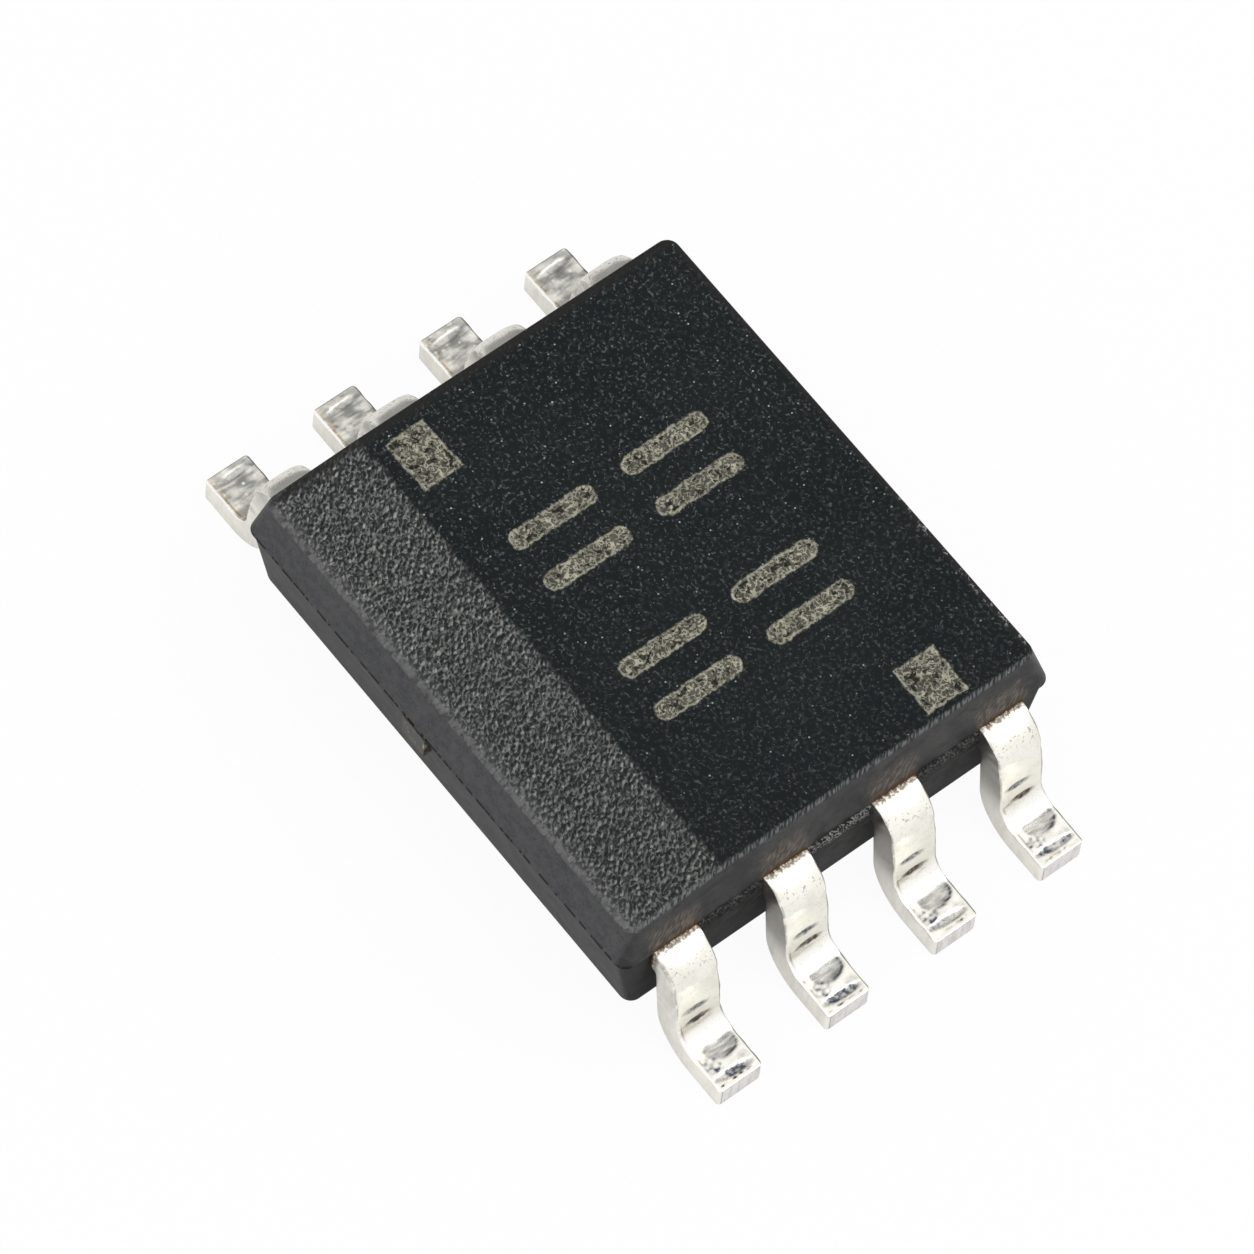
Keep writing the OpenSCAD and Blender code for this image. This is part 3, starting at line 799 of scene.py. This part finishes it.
def make_piece(name, points, faces, material, numbers):
    """Puts arrays of points and faces into a smooth mesh object at the origin. Faces is a list of index
    arrays, one for each number of corners, and numbers gives values to store on the points."""
    mesh = bpy.data.meshes.new(name)
    corners = np.concatenate([f.ravel() for f in faces]).astype(np.int32)
    counts = np.concatenate([np.full(len(f), f.shape[1]) for f in faces])
    starts = (np.cumsum(counts) - counts).astype(np.int32)
    mesh.vertices.add(len(points))
    mesh.vertices.foreach_set("co", np.ascontiguousarray(points, np.float32).ravel())
    mesh.loops.add(len(corners))
    mesh.loops.foreach_set("vertex_index", corners)
    mesh.polygons.add(len(starts))
    mesh.polygons.foreach_set("loop_start", starts)
    mesh.polygons.foreach_set("use_smooth", np.ones(len(starts), bool))
    mesh.update(calc_edges=True)
    if mesh.validate():
        raise RuntimeError(f"{name}: the mesh has faults")
    mesh.set_sharp_from_angle(angle=SHARP_ANGLE)
    for key, values in numbers.items():
        mesh.attributes.new(key, "FLOAT", "POINT").data.foreach_set(
            "value", np.ascontiguousarray(values, np.float32).ravel())
    mesh.materials.append(material)
    piece = bpy.data.objects.new(name, mesh)
    bpy.context.scene.collection.objects.link(piece)
    return piece


def smooth(values, low, high):
    """A smooth step on an array: 0 up to low, 1 from high on."""
    t = np.clip((values - low) / (high - low), 0, 1)
    return t * t * (3 - 2 * t)


def ripple(first, second, seed, waves, each=5):
    """Rough but repeatable relief, mostly from -1 to 1: a sum of sines of two coordinates, with directions,
    rates and shifts drawn from a seed. Waves lists the lowest and highest rate of each group of sines."""
    draw = np.random.default_rng(seed)
    total = np.zeros(np.broadcast(first, second).shape)
    for low, high in waves:
        turn = draw.uniform(0, 2 * np.pi, each)
        rate = draw.uniform(low, high, each)
        shift = draw.uniform(0, 2 * np.pi, each)
        for k in range(each):
            total = total + np.sin(rate[k] * (np.cos(turn[k]) * first + np.sin(turn[k]) * second) + shift[k])
    return total / np.sqrt(each / 2 * len(waves))


class Rim:
    """The rim of a grid that covers a round-cornered rectangle, anticlockwise from above. Each of its points
    has a corner middle (cx, cy) on the unit square and a normal (nx, ny), so that a rectangle of half sizes a
    and b with corner radius r has the point ((a - r) cx + r nx, (b - r) cy + r ny)."""

    def __init__(self, columns, straight, arc_steps):
        arc = np.linspace(0, np.pi / 2, arc_steps + 1)
        ends = np.ones(arc_steps)
        row_y = np.concatenate([-ends, straight, ends])
        turn = np.concatenate([arc[:-1] - np.pi / 2, 0 * straight, arc[1:]])
        rows = len(row_y) - 1
        self.rows, self.columns = rows, columns
        self.across = np.linspace(-1, 1, columns + 1)
        level, upright = np.arange(columns + 1), np.arange(rows + 1)
        self.row = np.concatenate([0 * level[1:], upright[:-1], 0 * level[1:] + rows, upright[:0:-1]])
        self.col = np.concatenate([level[:-1], 0 * upright[1:] + columns, level[:0:-1], 0 * upright[1:]])
        at_end = (self.row == 0) | (self.row == rows)
        reach = self.across[self.col]
        self.cx = np.where(at_end, reach, np.sign(reach))
        self.cy = row_y[self.row]
        self.nx = np.where(at_end, 0.0, np.sign(reach) * np.cos(turn)[self.row])
        self.ny = np.sin(turn)[self.row]
        self.ids = self.row * (columns + 1) + self.col
        self.count = len(self.ids)

    def at(self, a, b, r, z):
        """The rim's points on a rectangle of half sizes a and b with corner radius r, at height z."""
        x = (a - r) * self.cx + r * self.nx
        y = (b - r) * self.cy + r * self.ny
        return np.stack([x, y, np.broadcast_to(z, x.shape)], -1)

    def fill(self, ring, height):
        """Rows of points between the long sides of a ring, at a height worked out from y, with the ring
        itself as the border."""
        far = self.col == self.columns
        wide, deep = np.zeros(self.rows + 1), np.zeros(self.rows + 1)
        wide[self.row[far]] = ring[far, 0]
        deep[self.row[far]] = ring[far, 1]
        x = wide[:, None] * self.across
        y = np.repeat(deep[:, None], self.columns + 1, 1)
        points = np.stack([x, y, height(y)], -1).reshape(-1, 3)
        points[self.ids] = ring
        return points

    def tiles(self):
        """The grid's faces, seen from above."""
        row, col = np.arange(self.rows)[:, None], np.arange(self.columns)
        first = (row * (self.columns + 1) + col).ravel()
        return np.stack([first, first + 1, first + self.columns + 2, first + self.columns + 1], -1)


def body_surface(s, leads):
    """Points, faces and stored numbers of the moulded body: the outline of a round-cornered rectangle carried
    down a profile, from the rounded top edge over the drafted wall, the parting step and the flash between
    the leads to the rounded bottom edge, with a grid over the top and one over the underside."""
    b_top = s.half_length - (s.top - s.parting) * math.tan(s.draft_end)
    strip_y = b_top - s.strip_width
    crease = strip_y / (b_top - s.corner)
    straight = np.concatenate([np.linspace(-1, crease, TOP_ROWS), np.linspace(crease, 1, STRIP_ROWS)[1:]])
    rim = Rim(BODY_COLUMNS, straight, CORNER_STEPS)
    rings, skin, flash = [], [], []

    def add(ring, skin_share=0.0, flash_share=0.0):
        rings.append(ring)
        skin.append(np.broadcast_to(skin_share, rim.count))
        flash.append(np.broadcast_to(flash_share, rim.count))

    def top_height(y):
        """Level, then sloping down over the index strip."""
        return s.top - s.strip_drop / s.strip_width * np.maximum(y - strip_y, 0)

    # Top edge: an arc from level to the wall's slope, lumpy at the end of the index strip
    rim_z = top_height(rim.at(s.half_width, b_top, s.corner, 0.0)[:, 1])
    edge_a = s.half_width - (rim_z - s.parting) * math.tan(s.draft_side)
    edge_b = s.half_length - (rim_z - s.parting) * math.tan(s.draft_end)
    draft = s.draft_side * rim.nx**2 + s.draft_end * rim.ny**2
    lumps = ripple(rim.cx * s.half_width / MM, 0.0, 5, ((60, 110), (120, 200))) * smooth(rim.ny, 0.6, 0.95)
    for part, skin_share in ((1.0, 1.0), (0.8, 1.0), (0.6, 1.0), (0.4, 0.8), (0.2, 0.35), (0.0, 0.0)):
        phi = draft + part * (np.pi / 2 - draft)
        out = s.edge * (np.cos(phi) - (1 - np.sin(draft)) / np.cos(draft)) + s.lumps * lumps * part
        z = rim_z + s.edge * (np.sin(phi) - 1)
        add(rim.at(edge_a + out, edge_b + out, s.corner + out, z), skin_share)

    # Upper wall, down to the parting plane
    start, foot = rings[-1], rim.at(s.half_width, s.half_length, s.corner, s.parting)
    for part in (0.08, 0.25, 0.5, 0.75, 0.93, 0.98, 0.996):
        add(start + (foot - start) * part)

    def low_half_sizes(drop):
        """Half sizes of the lower half at that depth under the parting plane."""
        return (s.half_width - s.step - drop * math.tan(s.low_draft_side),
                s.half_length - s.step - drop * math.tan(s.low_draft_end))

    def add_low(drop, flare=0.0):
        """A ring of the lower half, drawn out to the broken face of the flash where flare is 1."""
        ring = rim.at(*low_half_sizes(drop), s.corner, s.parting - drop)
        x, y = ring[:, 0], ring[:, 1]
        off_lead = np.abs((y / leads.pitch) % 1.0 - 0.5) * leads.pitch
        between = smooth(off_lead, leads.width / 2 - 0.006 * MM, leads.width / 2 + 0.004 * MM)
        between = between * (np.abs(y) < 1.5 * leads.pitch) * (np.abs(rim.nx) > 0.9)
        rough = s.broken * (1 - 0.8 * smooth(drop, 0.03 * MM, 0.08 * MM))
        broken = ripple(y / MM, drop / MM + np.sign(x), 11, ((25, 60), (80, 170))) * rough
        x += np.sign(x) * (s.half_width + s.flash_out - np.abs(x) - 0.004 * MM + broken) * between * flare
        add(ring, 0.0, between * (flare > 0))

    # Parting step and flash, then the lower wall
    depth = s.flash_height
    for drop, flare in ((0.0005 * MM, 0.35), (0.001 * MM, 0.8), (0.005 * MM, 0.97), (0.015 * MM, 1.0)):
        add_low(drop, flare)
    for part in (0.25, 0.4, 0.55, 0.7, 0.85):
        add_low(depth * part, 1.0)
    for drop, flare in ((depth - 0.004 * MM, 0.95), (depth, 0.7), (depth + 0.001 * MM, 0.0)):
        add_low(drop, flare)
    lowest = s.parting - s.bottom
    for part in (0.36, 0.5, 0.7, 0.85, 0.93):
        add_low(lowest * part)

    # Bottom edge: a quarter round
    a, b = low_half_sizes(lowest - s.edge)
    for turn in np.linspace(0, np.pi / 2, 5):
        inwards = s.edge * (1 - math.cos(turn))
        z = s.bottom + s.edge * (1 - math.sin(turn))
        add(rim.at(a - inwards, b - inwards, s.corner - inwards, z))

    top_grid = rim.fill(rings[0], top_height)
    low_grid = rim.fill(rings[-1], lambda y: np.full(y.shape, s.bottom))
    points = np.concatenate([top_grid, *rings[1:-1], low_grid])
    low_start = len(points) - len(low_grid)
    ids = len(top_grid) + np.arange(rim.count * (len(rings) - 2)).reshape(-1, rim.count)
    ids = np.concatenate([rim.ids[None], ids, rim.ids[None] + low_start])
    ahead = np.roll(ids, -1, 1)
    walls = np.stack([ids[:-1], ids[1:], ahead[1:], ahead[:-1]], -1).reshape(-1, 4)
    quads = np.concatenate([walls, rim.tiles(), rim.tiles()[:, ::-1] + low_start])

    def stored(on_top, values):
        return np.concatenate([np.full(len(top_grid), on_top), *values[1:-1], np.zeros(len(low_grid))])

    return points, [quads], {"skin": stored(1.0, skin), "flash": stored(0.0, flash)}


def lead_path(s, height):
    """The middle line of a lead: straight finger, shoulder bend, limb, heel bend, foot. Gives the lengths at
    which these meet, and a function that gives, for a list of such lengths, the place across the rows, the
    height, the downward slope, and the length along the top face from a little inside the body."""
    bend = math.pi / 2 - s.lean
    half = s.thickness / 2
    r1, r2 = s.shoulder + half, s.heel + half
    limb = (height - half - (r1 + r2) * (1 - math.cos(bend))) / math.sin(bend)
    foot = s.tip - s.bend_start - (r1 + r2) * math.sin(bend) - limb * math.cos(bend)
    spans = np.array([s.bend_start - s.inner_end, r1 * bend, limb, r2 * bend, foot])
    knots = np.concatenate([[0], np.cumsum(spans)])
    slopes = np.array([0, 0, bend, bend, 0, 0])
    gain = np.array([1, (r1 + half) / r1, 1, (r2 - half) / r2, 1])
    lengths = np.concatenate([[0], np.cumsum(spans * gain)])
    lengths = lengths - lengths[1] + BEND_U * MM

    fine = np.linspace(0, knots[-1], PATH_POINTS)
    slope = np.interp(fine, knots, slopes)
    middle = (slope[1:] + slope[:-1]) / 2
    step = fine[1]
    run = s.inner_end + np.concatenate([[0], np.cumsum(np.cos(middle)) * step])
    rise = height - np.concatenate([[0], np.cumsum(np.sin(middle)) * step])

    def at(stations):
        return (np.interp(stations, fine, run), np.interp(stations, fine, rise),
                np.interp(stations, fine, slope), np.interp(stations, knots, lengths))

    return knots, at


def tool_marks(u, v, seed, force):
    """Marks of the forming tool on the top face, by the length u along it and the place v across it, in
    millimetres: two grooves at the heel, an oval print and a bar on the foot. Gives the depth of the dents in
    millimetres and the strengths of the stain and of the oval print, all from ellipses. The strengths grow
    with the force."""
    draw = np.random.default_rng(seed)
    slip = draw.uniform(-0.006, 0.006, 10)
    speck = ripple(u, v, seed + 90, ((60, 140), (180, 320)))

    def ellipse(middle, half, tilt=0.0, soft=0.55):
        away = np.hypot((u - middle[0] - tilt * (v - middle[1])) / half[0], (v - middle[1]) / half[1])
        return 1 - smooth(away, 1 - soft, 1.0), away

    groove_1, _ = ellipse((GROOVE_1_U + slip[0], -0.014 + slip[1]), (0.026, 0.075), 0.06, 0.7)
    groove_2, _ = ellipse((GROOVE_2_U + slip[2], 0.002 + slip[3]), (0.024, 0.075), 0.04, 0.6)
    tail, _ = ellipse((GROOVE_2_U + 0.007 + slip[2], -0.055), (0.006, 0.050))
    dish, away = ellipse((PRINT_U + slip[4], 0.014 + slip[5]), (0.056, 0.074), 0.0, 0.9)
    fill = 0.34 + 0.20 * smooth(v, -0.06, 0.06) + 0.20 * smooth(away, 0.3, 0.9)
    fill = fill * (1 - smooth(away, 0.90, 1.0))
    rim = np.exp(-(((away - 0.84) / 0.14) ** 2)) * smooth(v + 1.1 * (u - PRINT_U), -0.02, 0.05)
    faint = smooth(u, PRINT_U + 0.010, PRINT_U + 0.040) * smooth(-v, -0.03, 0.03)
    pressed = np.maximum(fill, 0.95 * rim) * (1 - 0.4 * faint)
    smudge, _ = ellipse((PRINT_U + 0.052, -0.048 + slip[6]), (0.046, 0.050))
    bar, _ = ellipse((BAR_U + slip[7], slip[8]), (0.023, 0.108), 0.05)
    smear, _ = ellipse((BAR_U - 0.016, 0.062), (0.034, 0.036))
    line = np.exp(-(((u - TIP_LINE_U) / 0.005) ** 2)) * smooth(0.09 - np.abs(v), 0, 0.02)

    depth = 0.0030 * groove_1 + 0.0035 * groove_2 + 0.0008 * dish + 0.0025 * bar
    gap = 1 - 0.5 * smooth(ripple(v, 0.0, seed + 60, ((50, 90),)), 0.2, 1.0)
    stain = np.maximum.reduce([
        0.77 * groove_1, 0.92 * groove_2, 0.45 * tail,
        smudge * (0.42 + 0.25 * speck), 0.95 * bar * gap, 0.22 * smear, line * (0.35 + 0.3 * speck)])
    return depth, np.clip(force * stain * (1 + 0.18 * speck), 0, 1), force * pressed


def lead_section(top_steps=34, side_steps=12, arc_steps=4):
    """The outline of a rectangle with round edges, anticlockwise as seen from the tip: corner middles
    (cv, cw) on the unit square and unit normals (nv, nw), from one end of the top face."""
    arc = np.linspace(0, np.pi / 2, arc_steps + 1)[1:-1]
    parts = []
    for quarter, steps in enumerate((top_steps, side_steps, top_steps, side_steps)):
        along, level = np.linspace(1, -1, steps + 1), np.ones(steps + 1)
        face = ((along, level), (-level, along), (-along, -level), (level, -along))[quarter]
        flat = np.stack([*face, np.full(steps + 1, (quarter + 1) * np.pi / 2)])
        bend = np.stack([np.full(len(arc), face[0][-1]), np.full(len(arc), face[1][-1]),
                         (quarter + 1) * np.pi / 2 + arc])
        parts += [flat, bend]
    cv, cw, turn = np.concatenate(parts, 1)
    return cv, cw, np.cos(turn), np.sin(turn)


def lead_surface(s, height, side, middle_y, land_shift, seed):
    """Points, faces and stored numbers of one lead: a rectangle with round edges carried along the middle
    line. At the tip the width follows the tip corners and the thickness a small round edge, and a flat cap
    closes it. The foot gets thinner towards its tip, the sheared edges are wavy, and the tool's marks are
    pressed into the top face."""
    knots, at = lead_path(s, height)
    tip_start = knots[-1] - s.tip_corner
    inner = np.array([0, s.land_length - 0.002 * MM, s.land_length, s.land_length + 0.1 * MM])
    outer = np.linspace(knots[1] - 0.05 * MM, tip_start, LEAD_ROWS)
    cap = np.linspace(0, np.pi / 2, TIP_ROWS + 1)[1:]
    stations = np.concatenate([inner, outer, tip_start + s.tip_corner * np.sin(cap)])
    run, rise, slope, u = [values[:, None] for values in at(stations)]
    cv, cw, nv, nw = lead_section()

    to_tip = knots[-1] - stations[:, None]
    into_corner = np.maximum(s.tip_corner - to_tip, 0)
    narrow = s.tip_corner - np.sqrt(np.maximum(s.tip_corner**2 - into_corner**2, 0))
    blunt = s.edge - np.sqrt(np.maximum(s.edge**2 - np.maximum(s.edge - to_tip, 0) ** 2, 0))
    in_land = smooth(stations, s.land_length, s.land_length - 0.001 * MM)[:, None]
    outside = smooth(stations, knots[1] - 0.01 * MM, knots[1] + 0.04 * MM)[:, None]
    coin = s.coin * np.clip((u - u[-1]) / s.coin_length + 1, 0, 1)

    half_w = s.width / 2 + in_land * (s.land_width - s.width) / 2 - narrow
    wave = ripple(u / MM, cv[None, :] * 3.0, seed + 20, ((25, 50), (60, 110)))
    half_w = half_w - s.wave * (1 + wave) * outside * smooth(cw, -0.6, 0.9)
    v = (half_w - s.edge) * cv + s.edge * nv + in_land * land_shift
    upper, lower = s.thickness / 2 - blunt - coin, s.thickness / 2 - blunt
    w = (upper - lower) / 2 + ((upper + lower) / 2 - s.edge) * cw + s.edge * nw

    # Place counts from +Y to -Y on both rows, so that both carry the same marks
    place = -side * v / MM
    on_top = smooth(nw, 0.6, 0.95) * smooth(half_w - np.abs(v), 0.006 * MM, 0.018 * MM) * outside
    depth, stain, pressed = tool_marks(u / MM, place, seed, FRONT_FORCE if side < 0 else REAR_FORCE)
    crown = smooth(u / MM, 0.04, 0.12) * smooth(u / MM, 0.34, 0.24) * smooth(cw, 0.0, 1.0)
    w = w - s.crown * crown * np.abs(v / (s.width / 2)) ** 4
    sway = ripple(stations[:, None] / MM, cv[None, :] * 0.1, seed + 40, ((20, 45), (60, 110)))
    w = w - (depth * MM - s.sway * sway) * on_top

    x = side * (run + w * np.sin(slope))
    y = middle_y + side * v
    z = rise + w * np.cos(slope)
    rows, count = x.shape
    points = np.stack([x, y, z], -1)
    ends = points[[0, -1]].mean(1)
    ids = np.arange(rows * count).reshape(rows, count)
    ahead = np.roll(ids, -1, 1)
    quads = np.stack([ids[:-1], ahead[:-1], ahead[1:], ids[1:]], -1).reshape(-1, 4)
    start = np.stack([np.full(count, rows * count), ahead[0], ids[0]], -1)
    inset = points[-1] + CAP_INSET * (ends[1] - points[-1])
    flat = rows * count + 2 + np.arange(count)
    flat_ahead = np.roll(flat, -1)
    border = np.stack([ids[-1], ahead[-1], flat_ahead, flat], -1)
    finish = np.stack([np.full(count, rows * count + 1), flat, flat_ahead], -1)

    def stored(values):
        full = np.broadcast_to(values, (rows, count))
        return np.concatenate([full.ravel(), full[[0, -1]].mean(1), full[-1]])

    numbers = {"along": stored(u / MM), "across": stored(place), "up": stored(nw[None, :]),
               "stain": stored(stain * on_top), "pressed": stored(pressed * on_top),
               "rear_row": stored(np.full((rows, count), 0.5 + 0.5 * side))}
    return (np.concatenate([points.reshape(-1, 3), ends, inset]),
            [np.concatenate([quads, border]), np.concatenate([start, finish])], numbers)


class CHIP_OT_mould_body(bpy.types.Operator):
    """Draw the moulded body in place of its solid"""

    bl_idname = "chip.mould_body"
    bl_label = "Mould body"

    def execute(self, context):
        sizes, leads = context.scene.chip_body, context.scene.chip_leads
        resin = mold_compound(sizes, leads, context.scene.chip_finishes)
        points, faces, numbers = body_surface(sizes, leads)
        piece = make_piece("body_skin", points, faces, resin, numbers)
        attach(piece, "root")
        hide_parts("mold_body")
        return {"FINISHED"}


class CHIP_OT_form_leads(bpy.types.Operator):
    """Draw the eight formed leads in place of their solids"""

    bl_idname = "chip.form_leads"
    bl_label = "Form leads"

    def execute(self, context):
        sizes = context.scene.chip_leads
        plating = tin_plate(sizes, context.scene.chip_finishes)
        height = context.scene.chip_body.parting - sizes.thickness / 2
        for number, node in enumerate(LEADS):
            side = -1 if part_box(node)[1].x < 0 else 1
            place = 1.5 - number if side < 0 else number - 5.5
            shift = -math.copysign((sizes.land_width - sizes.width) / 2, place) if abs(place) > 1 else 0.0
            middle = place * sizes.pitch
            points, faces, numbers = lead_surface(sizes, height, side, middle, shift * side, number)
            piece = make_piece(f"{node}_plated", points, faces, plating, numbers)
            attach(piece, "root")
            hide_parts(node)
        return {"FINISHED"}


class CHIP_OT_finish_inside(bpy.types.Operator):
    """Give the die pad, the die, its adhesive and the wires their materials"""

    bl_idname = "chip.finish_inside"
    bl_label = "Finish inside"

    def execute(self, context):
        wire = gold_wire()
        made = {"die_pad": cut_copper(context.scene.chip_finishes), "die": die_silicon(),
                "die_attach": attach_epoxy(), **{name: wire for name in WIRES}}
        for name, material in made.items():
            mesh = frame["nodes"][name].data
            mesh.materials.clear()
            mesh.materials.append(material)
        return {"FINISHED"}


class CHIP_OT_set_stage(bpy.types.Operator):
    """Lay the white floor and set the light and the camera"""

    bl_idname = "chip.set_stage"
    bl_label = "Set stage"

    def execute(self, context):
        scene = context.scene
        scene.view_settings.view_transform = "Standard"
        self.lay_floor(scene)
        self.light(scene)
        self.aim(scene)
        return {"FINISHED"}

    def lay_floor(self, scene):
        """A wide white floor. What the camera sees of it is mostly its own white, with a little shadow."""
        stage, reach, depth = scene.chip_stage, 0.5, 0.0005 * MM
        g = material_graph("floor_white")
        path = g.node("ShaderNodeLightPath")
        seen = path.most(g.beside(path, "Is Transmission Ray")) * stage.floor_glow
        seen = seen.most(g.beside(path, "Is Glossy Ray") * stage.floor_mirror)
        matt = g.node("ShaderNodeBsdfDiffuse", sockets={"Color": scene.chip_finishes.floor})
        glow = g.node("ShaderNodeEmission", sockets={"Color": WHITE})
        shown = g.node("ShaderNodeMixShader", sockets={0: seen, 1: matt, 2: glow})
        g.node("ShaderNodeOutputMaterial", sockets={"Surface": shown})
        corners = np.array([[-reach, -reach, -depth], [reach, -reach, -depth],
                            [reach, reach, -depth], [-reach, reach, -depth]])
        make_piece("floor", corners, [np.array([[0, 1, 2, 3]])], g.owner, {})

    def light(self, scene):
        """A white sky that is darker low down at the far side, as seen in the metal, and one soft lamp."""
        stage = scene.chip_stage
        world = bpy.data.worlds.new("white_tent")
        scene.world = world
        g = Graph(world)
        path = g.node("ShaderNodeLightPath")
        mirrored = g.beside(path, "Is Glossy Ray")
        seen = path.most(g.beside(path, "Is Transmission Ray")).most(mirrored)
        towards = g.node("ShaderNodeVectorMath", {"operation": "DOT_PRODUCT"},
                         {0: g.node("ShaderNodeTexCoord", output="Generated"), 1: FAR_SIDE},
                         output="Value")
        sky = g.mix(mirrored * towards.rise(0.66, 0.82), WHITE, (stage.far_dark,) * 3)
        backdrop = g.node("ShaderNodeBackground", sockets={"Color": sky, "Strength": 1.0})
        fill = g.node("ShaderNodeBackground", sockets={"Color": WHITE, "Strength": stage.fill})
        shown = g.node("ShaderNodeMixShader", sockets={0: seen, 1: fill, 2: backdrop})
        g.node("ShaderNodeOutputWorld", sockets={"Surface": shown})

        lamp = bpy.data.lights.new("softbox", "AREA")
        lamp.shape = "DISK"
        lamp.size = stage.lamp_size
        lamp.energy = stage.lamp_power
        softbox = bpy.data.objects.new("softbox", lamp)
        scene.collection.objects.link(softbox)
        softbox.matrix_world = aimed(stage.lamp_away, LAMP_SIDE / np.linalg.norm(LAMP_SIDE))

    def aim(self, scene):
        """The camera, in the place and turn found from the photograph's straight edges."""
        view = bpy.data.cameras.new("camera")
        view.lens = LENS
        view.sensor_width = SENSOR
        view.clip_start, view.clip_end = 0.001, 2.0
        camera = bpy.data.objects.new("camera", view)
        scene.collection.objects.link(camera)
        camera.matrix_world = camera_place()
        scene.camera = camera


def aimed(away, back):
    """A frame at that distance from the origin along back, which is its Z axis, with its X axis level."""
    right = np.cross((0.0, 0.0, 1.0), back)
    right = right / np.linalg.norm(right)
    matrix = np.eye(4)
    matrix[:3] = np.stack([right, np.cross(back, right), back, away * back], 1)
    return Matrix(matrix.tolist())


def camera_place():
    """The camera's frame from a turn vector and a shift: axis and angle of the turn from the object's frame
    to one with X right, Y down and Z into the picture."""
    size = np.linalg.norm(CAMERA_TURN)
    k = CAMERA_TURN / size
    cross = np.array([[0, -k[2], k[1]], [k[2], 0, -k[0]], [-k[1], k[0], 0]])
    spin = np.eye(3) + math.sin(size) * cross + (1 - math.cos(size)) * cross @ cross
    matrix = np.eye(4)
    matrix[:3, :3] = (spin * np.array([[1], [-1], [-1]])).T
    matrix[:3, 3] = -spin.T @ CAMERA_SHIFT
    return Matrix(matrix.tolist())


class CHIP_PT_panel(bpy.types.Panel):
    """Lists the steps that draw the chip"""

    bl_idname = "CHIP_PT_panel"
    bl_label = "Gull-wing chip"
    bl_space_type = "VIEW_3D"
    bl_region_type = "UI"
    bl_category = "Chip"

    def draw(self, context):
        for operator in OPERATORS:
            self.layout.operator(operator.bl_idname)
        for key, group in GROUPS.items():
            column = self.layout.column(align=True)
            for name in group.__annotations__:
                column.prop(getattr(context.scene, key), name)


OPERATORS = (CHIP_OT_set_stage, CHIP_OT_mould_body, CHIP_OT_form_leads, CHIP_OT_finish_inside)
GROUPS = {"chip_body": BodySizes, "chip_leads": LeadSizes, "chip_finishes": Finishes,
          "chip_stage": StageSettings}


def register():
    for kind in (*GROUPS.values(), *OPERATORS, CHIP_PT_panel):
        bpy.utils.register_class(kind)
    for key, group in GROUPS.items():
        setattr(bpy.types.Scene, key, PointerProperty(type=group))


def unregister():
    for key in GROUPS:
        delattr(bpy.types.Scene, key)
    for kind in (CHIP_PT_panel, *reversed(OPERATORS), *reversed(GROUPS.values())):
        bpy.utils.unregister_class(kind)


def main():
    """Draws the chip."""
    register()
    bpy.ops.chip.set_stage()
    bpy.ops.chip.mould_body()
    bpy.ops.chip.form_leads()
    bpy.ops.chip.finish_inside()


if __name__ == "__main__":
    main()
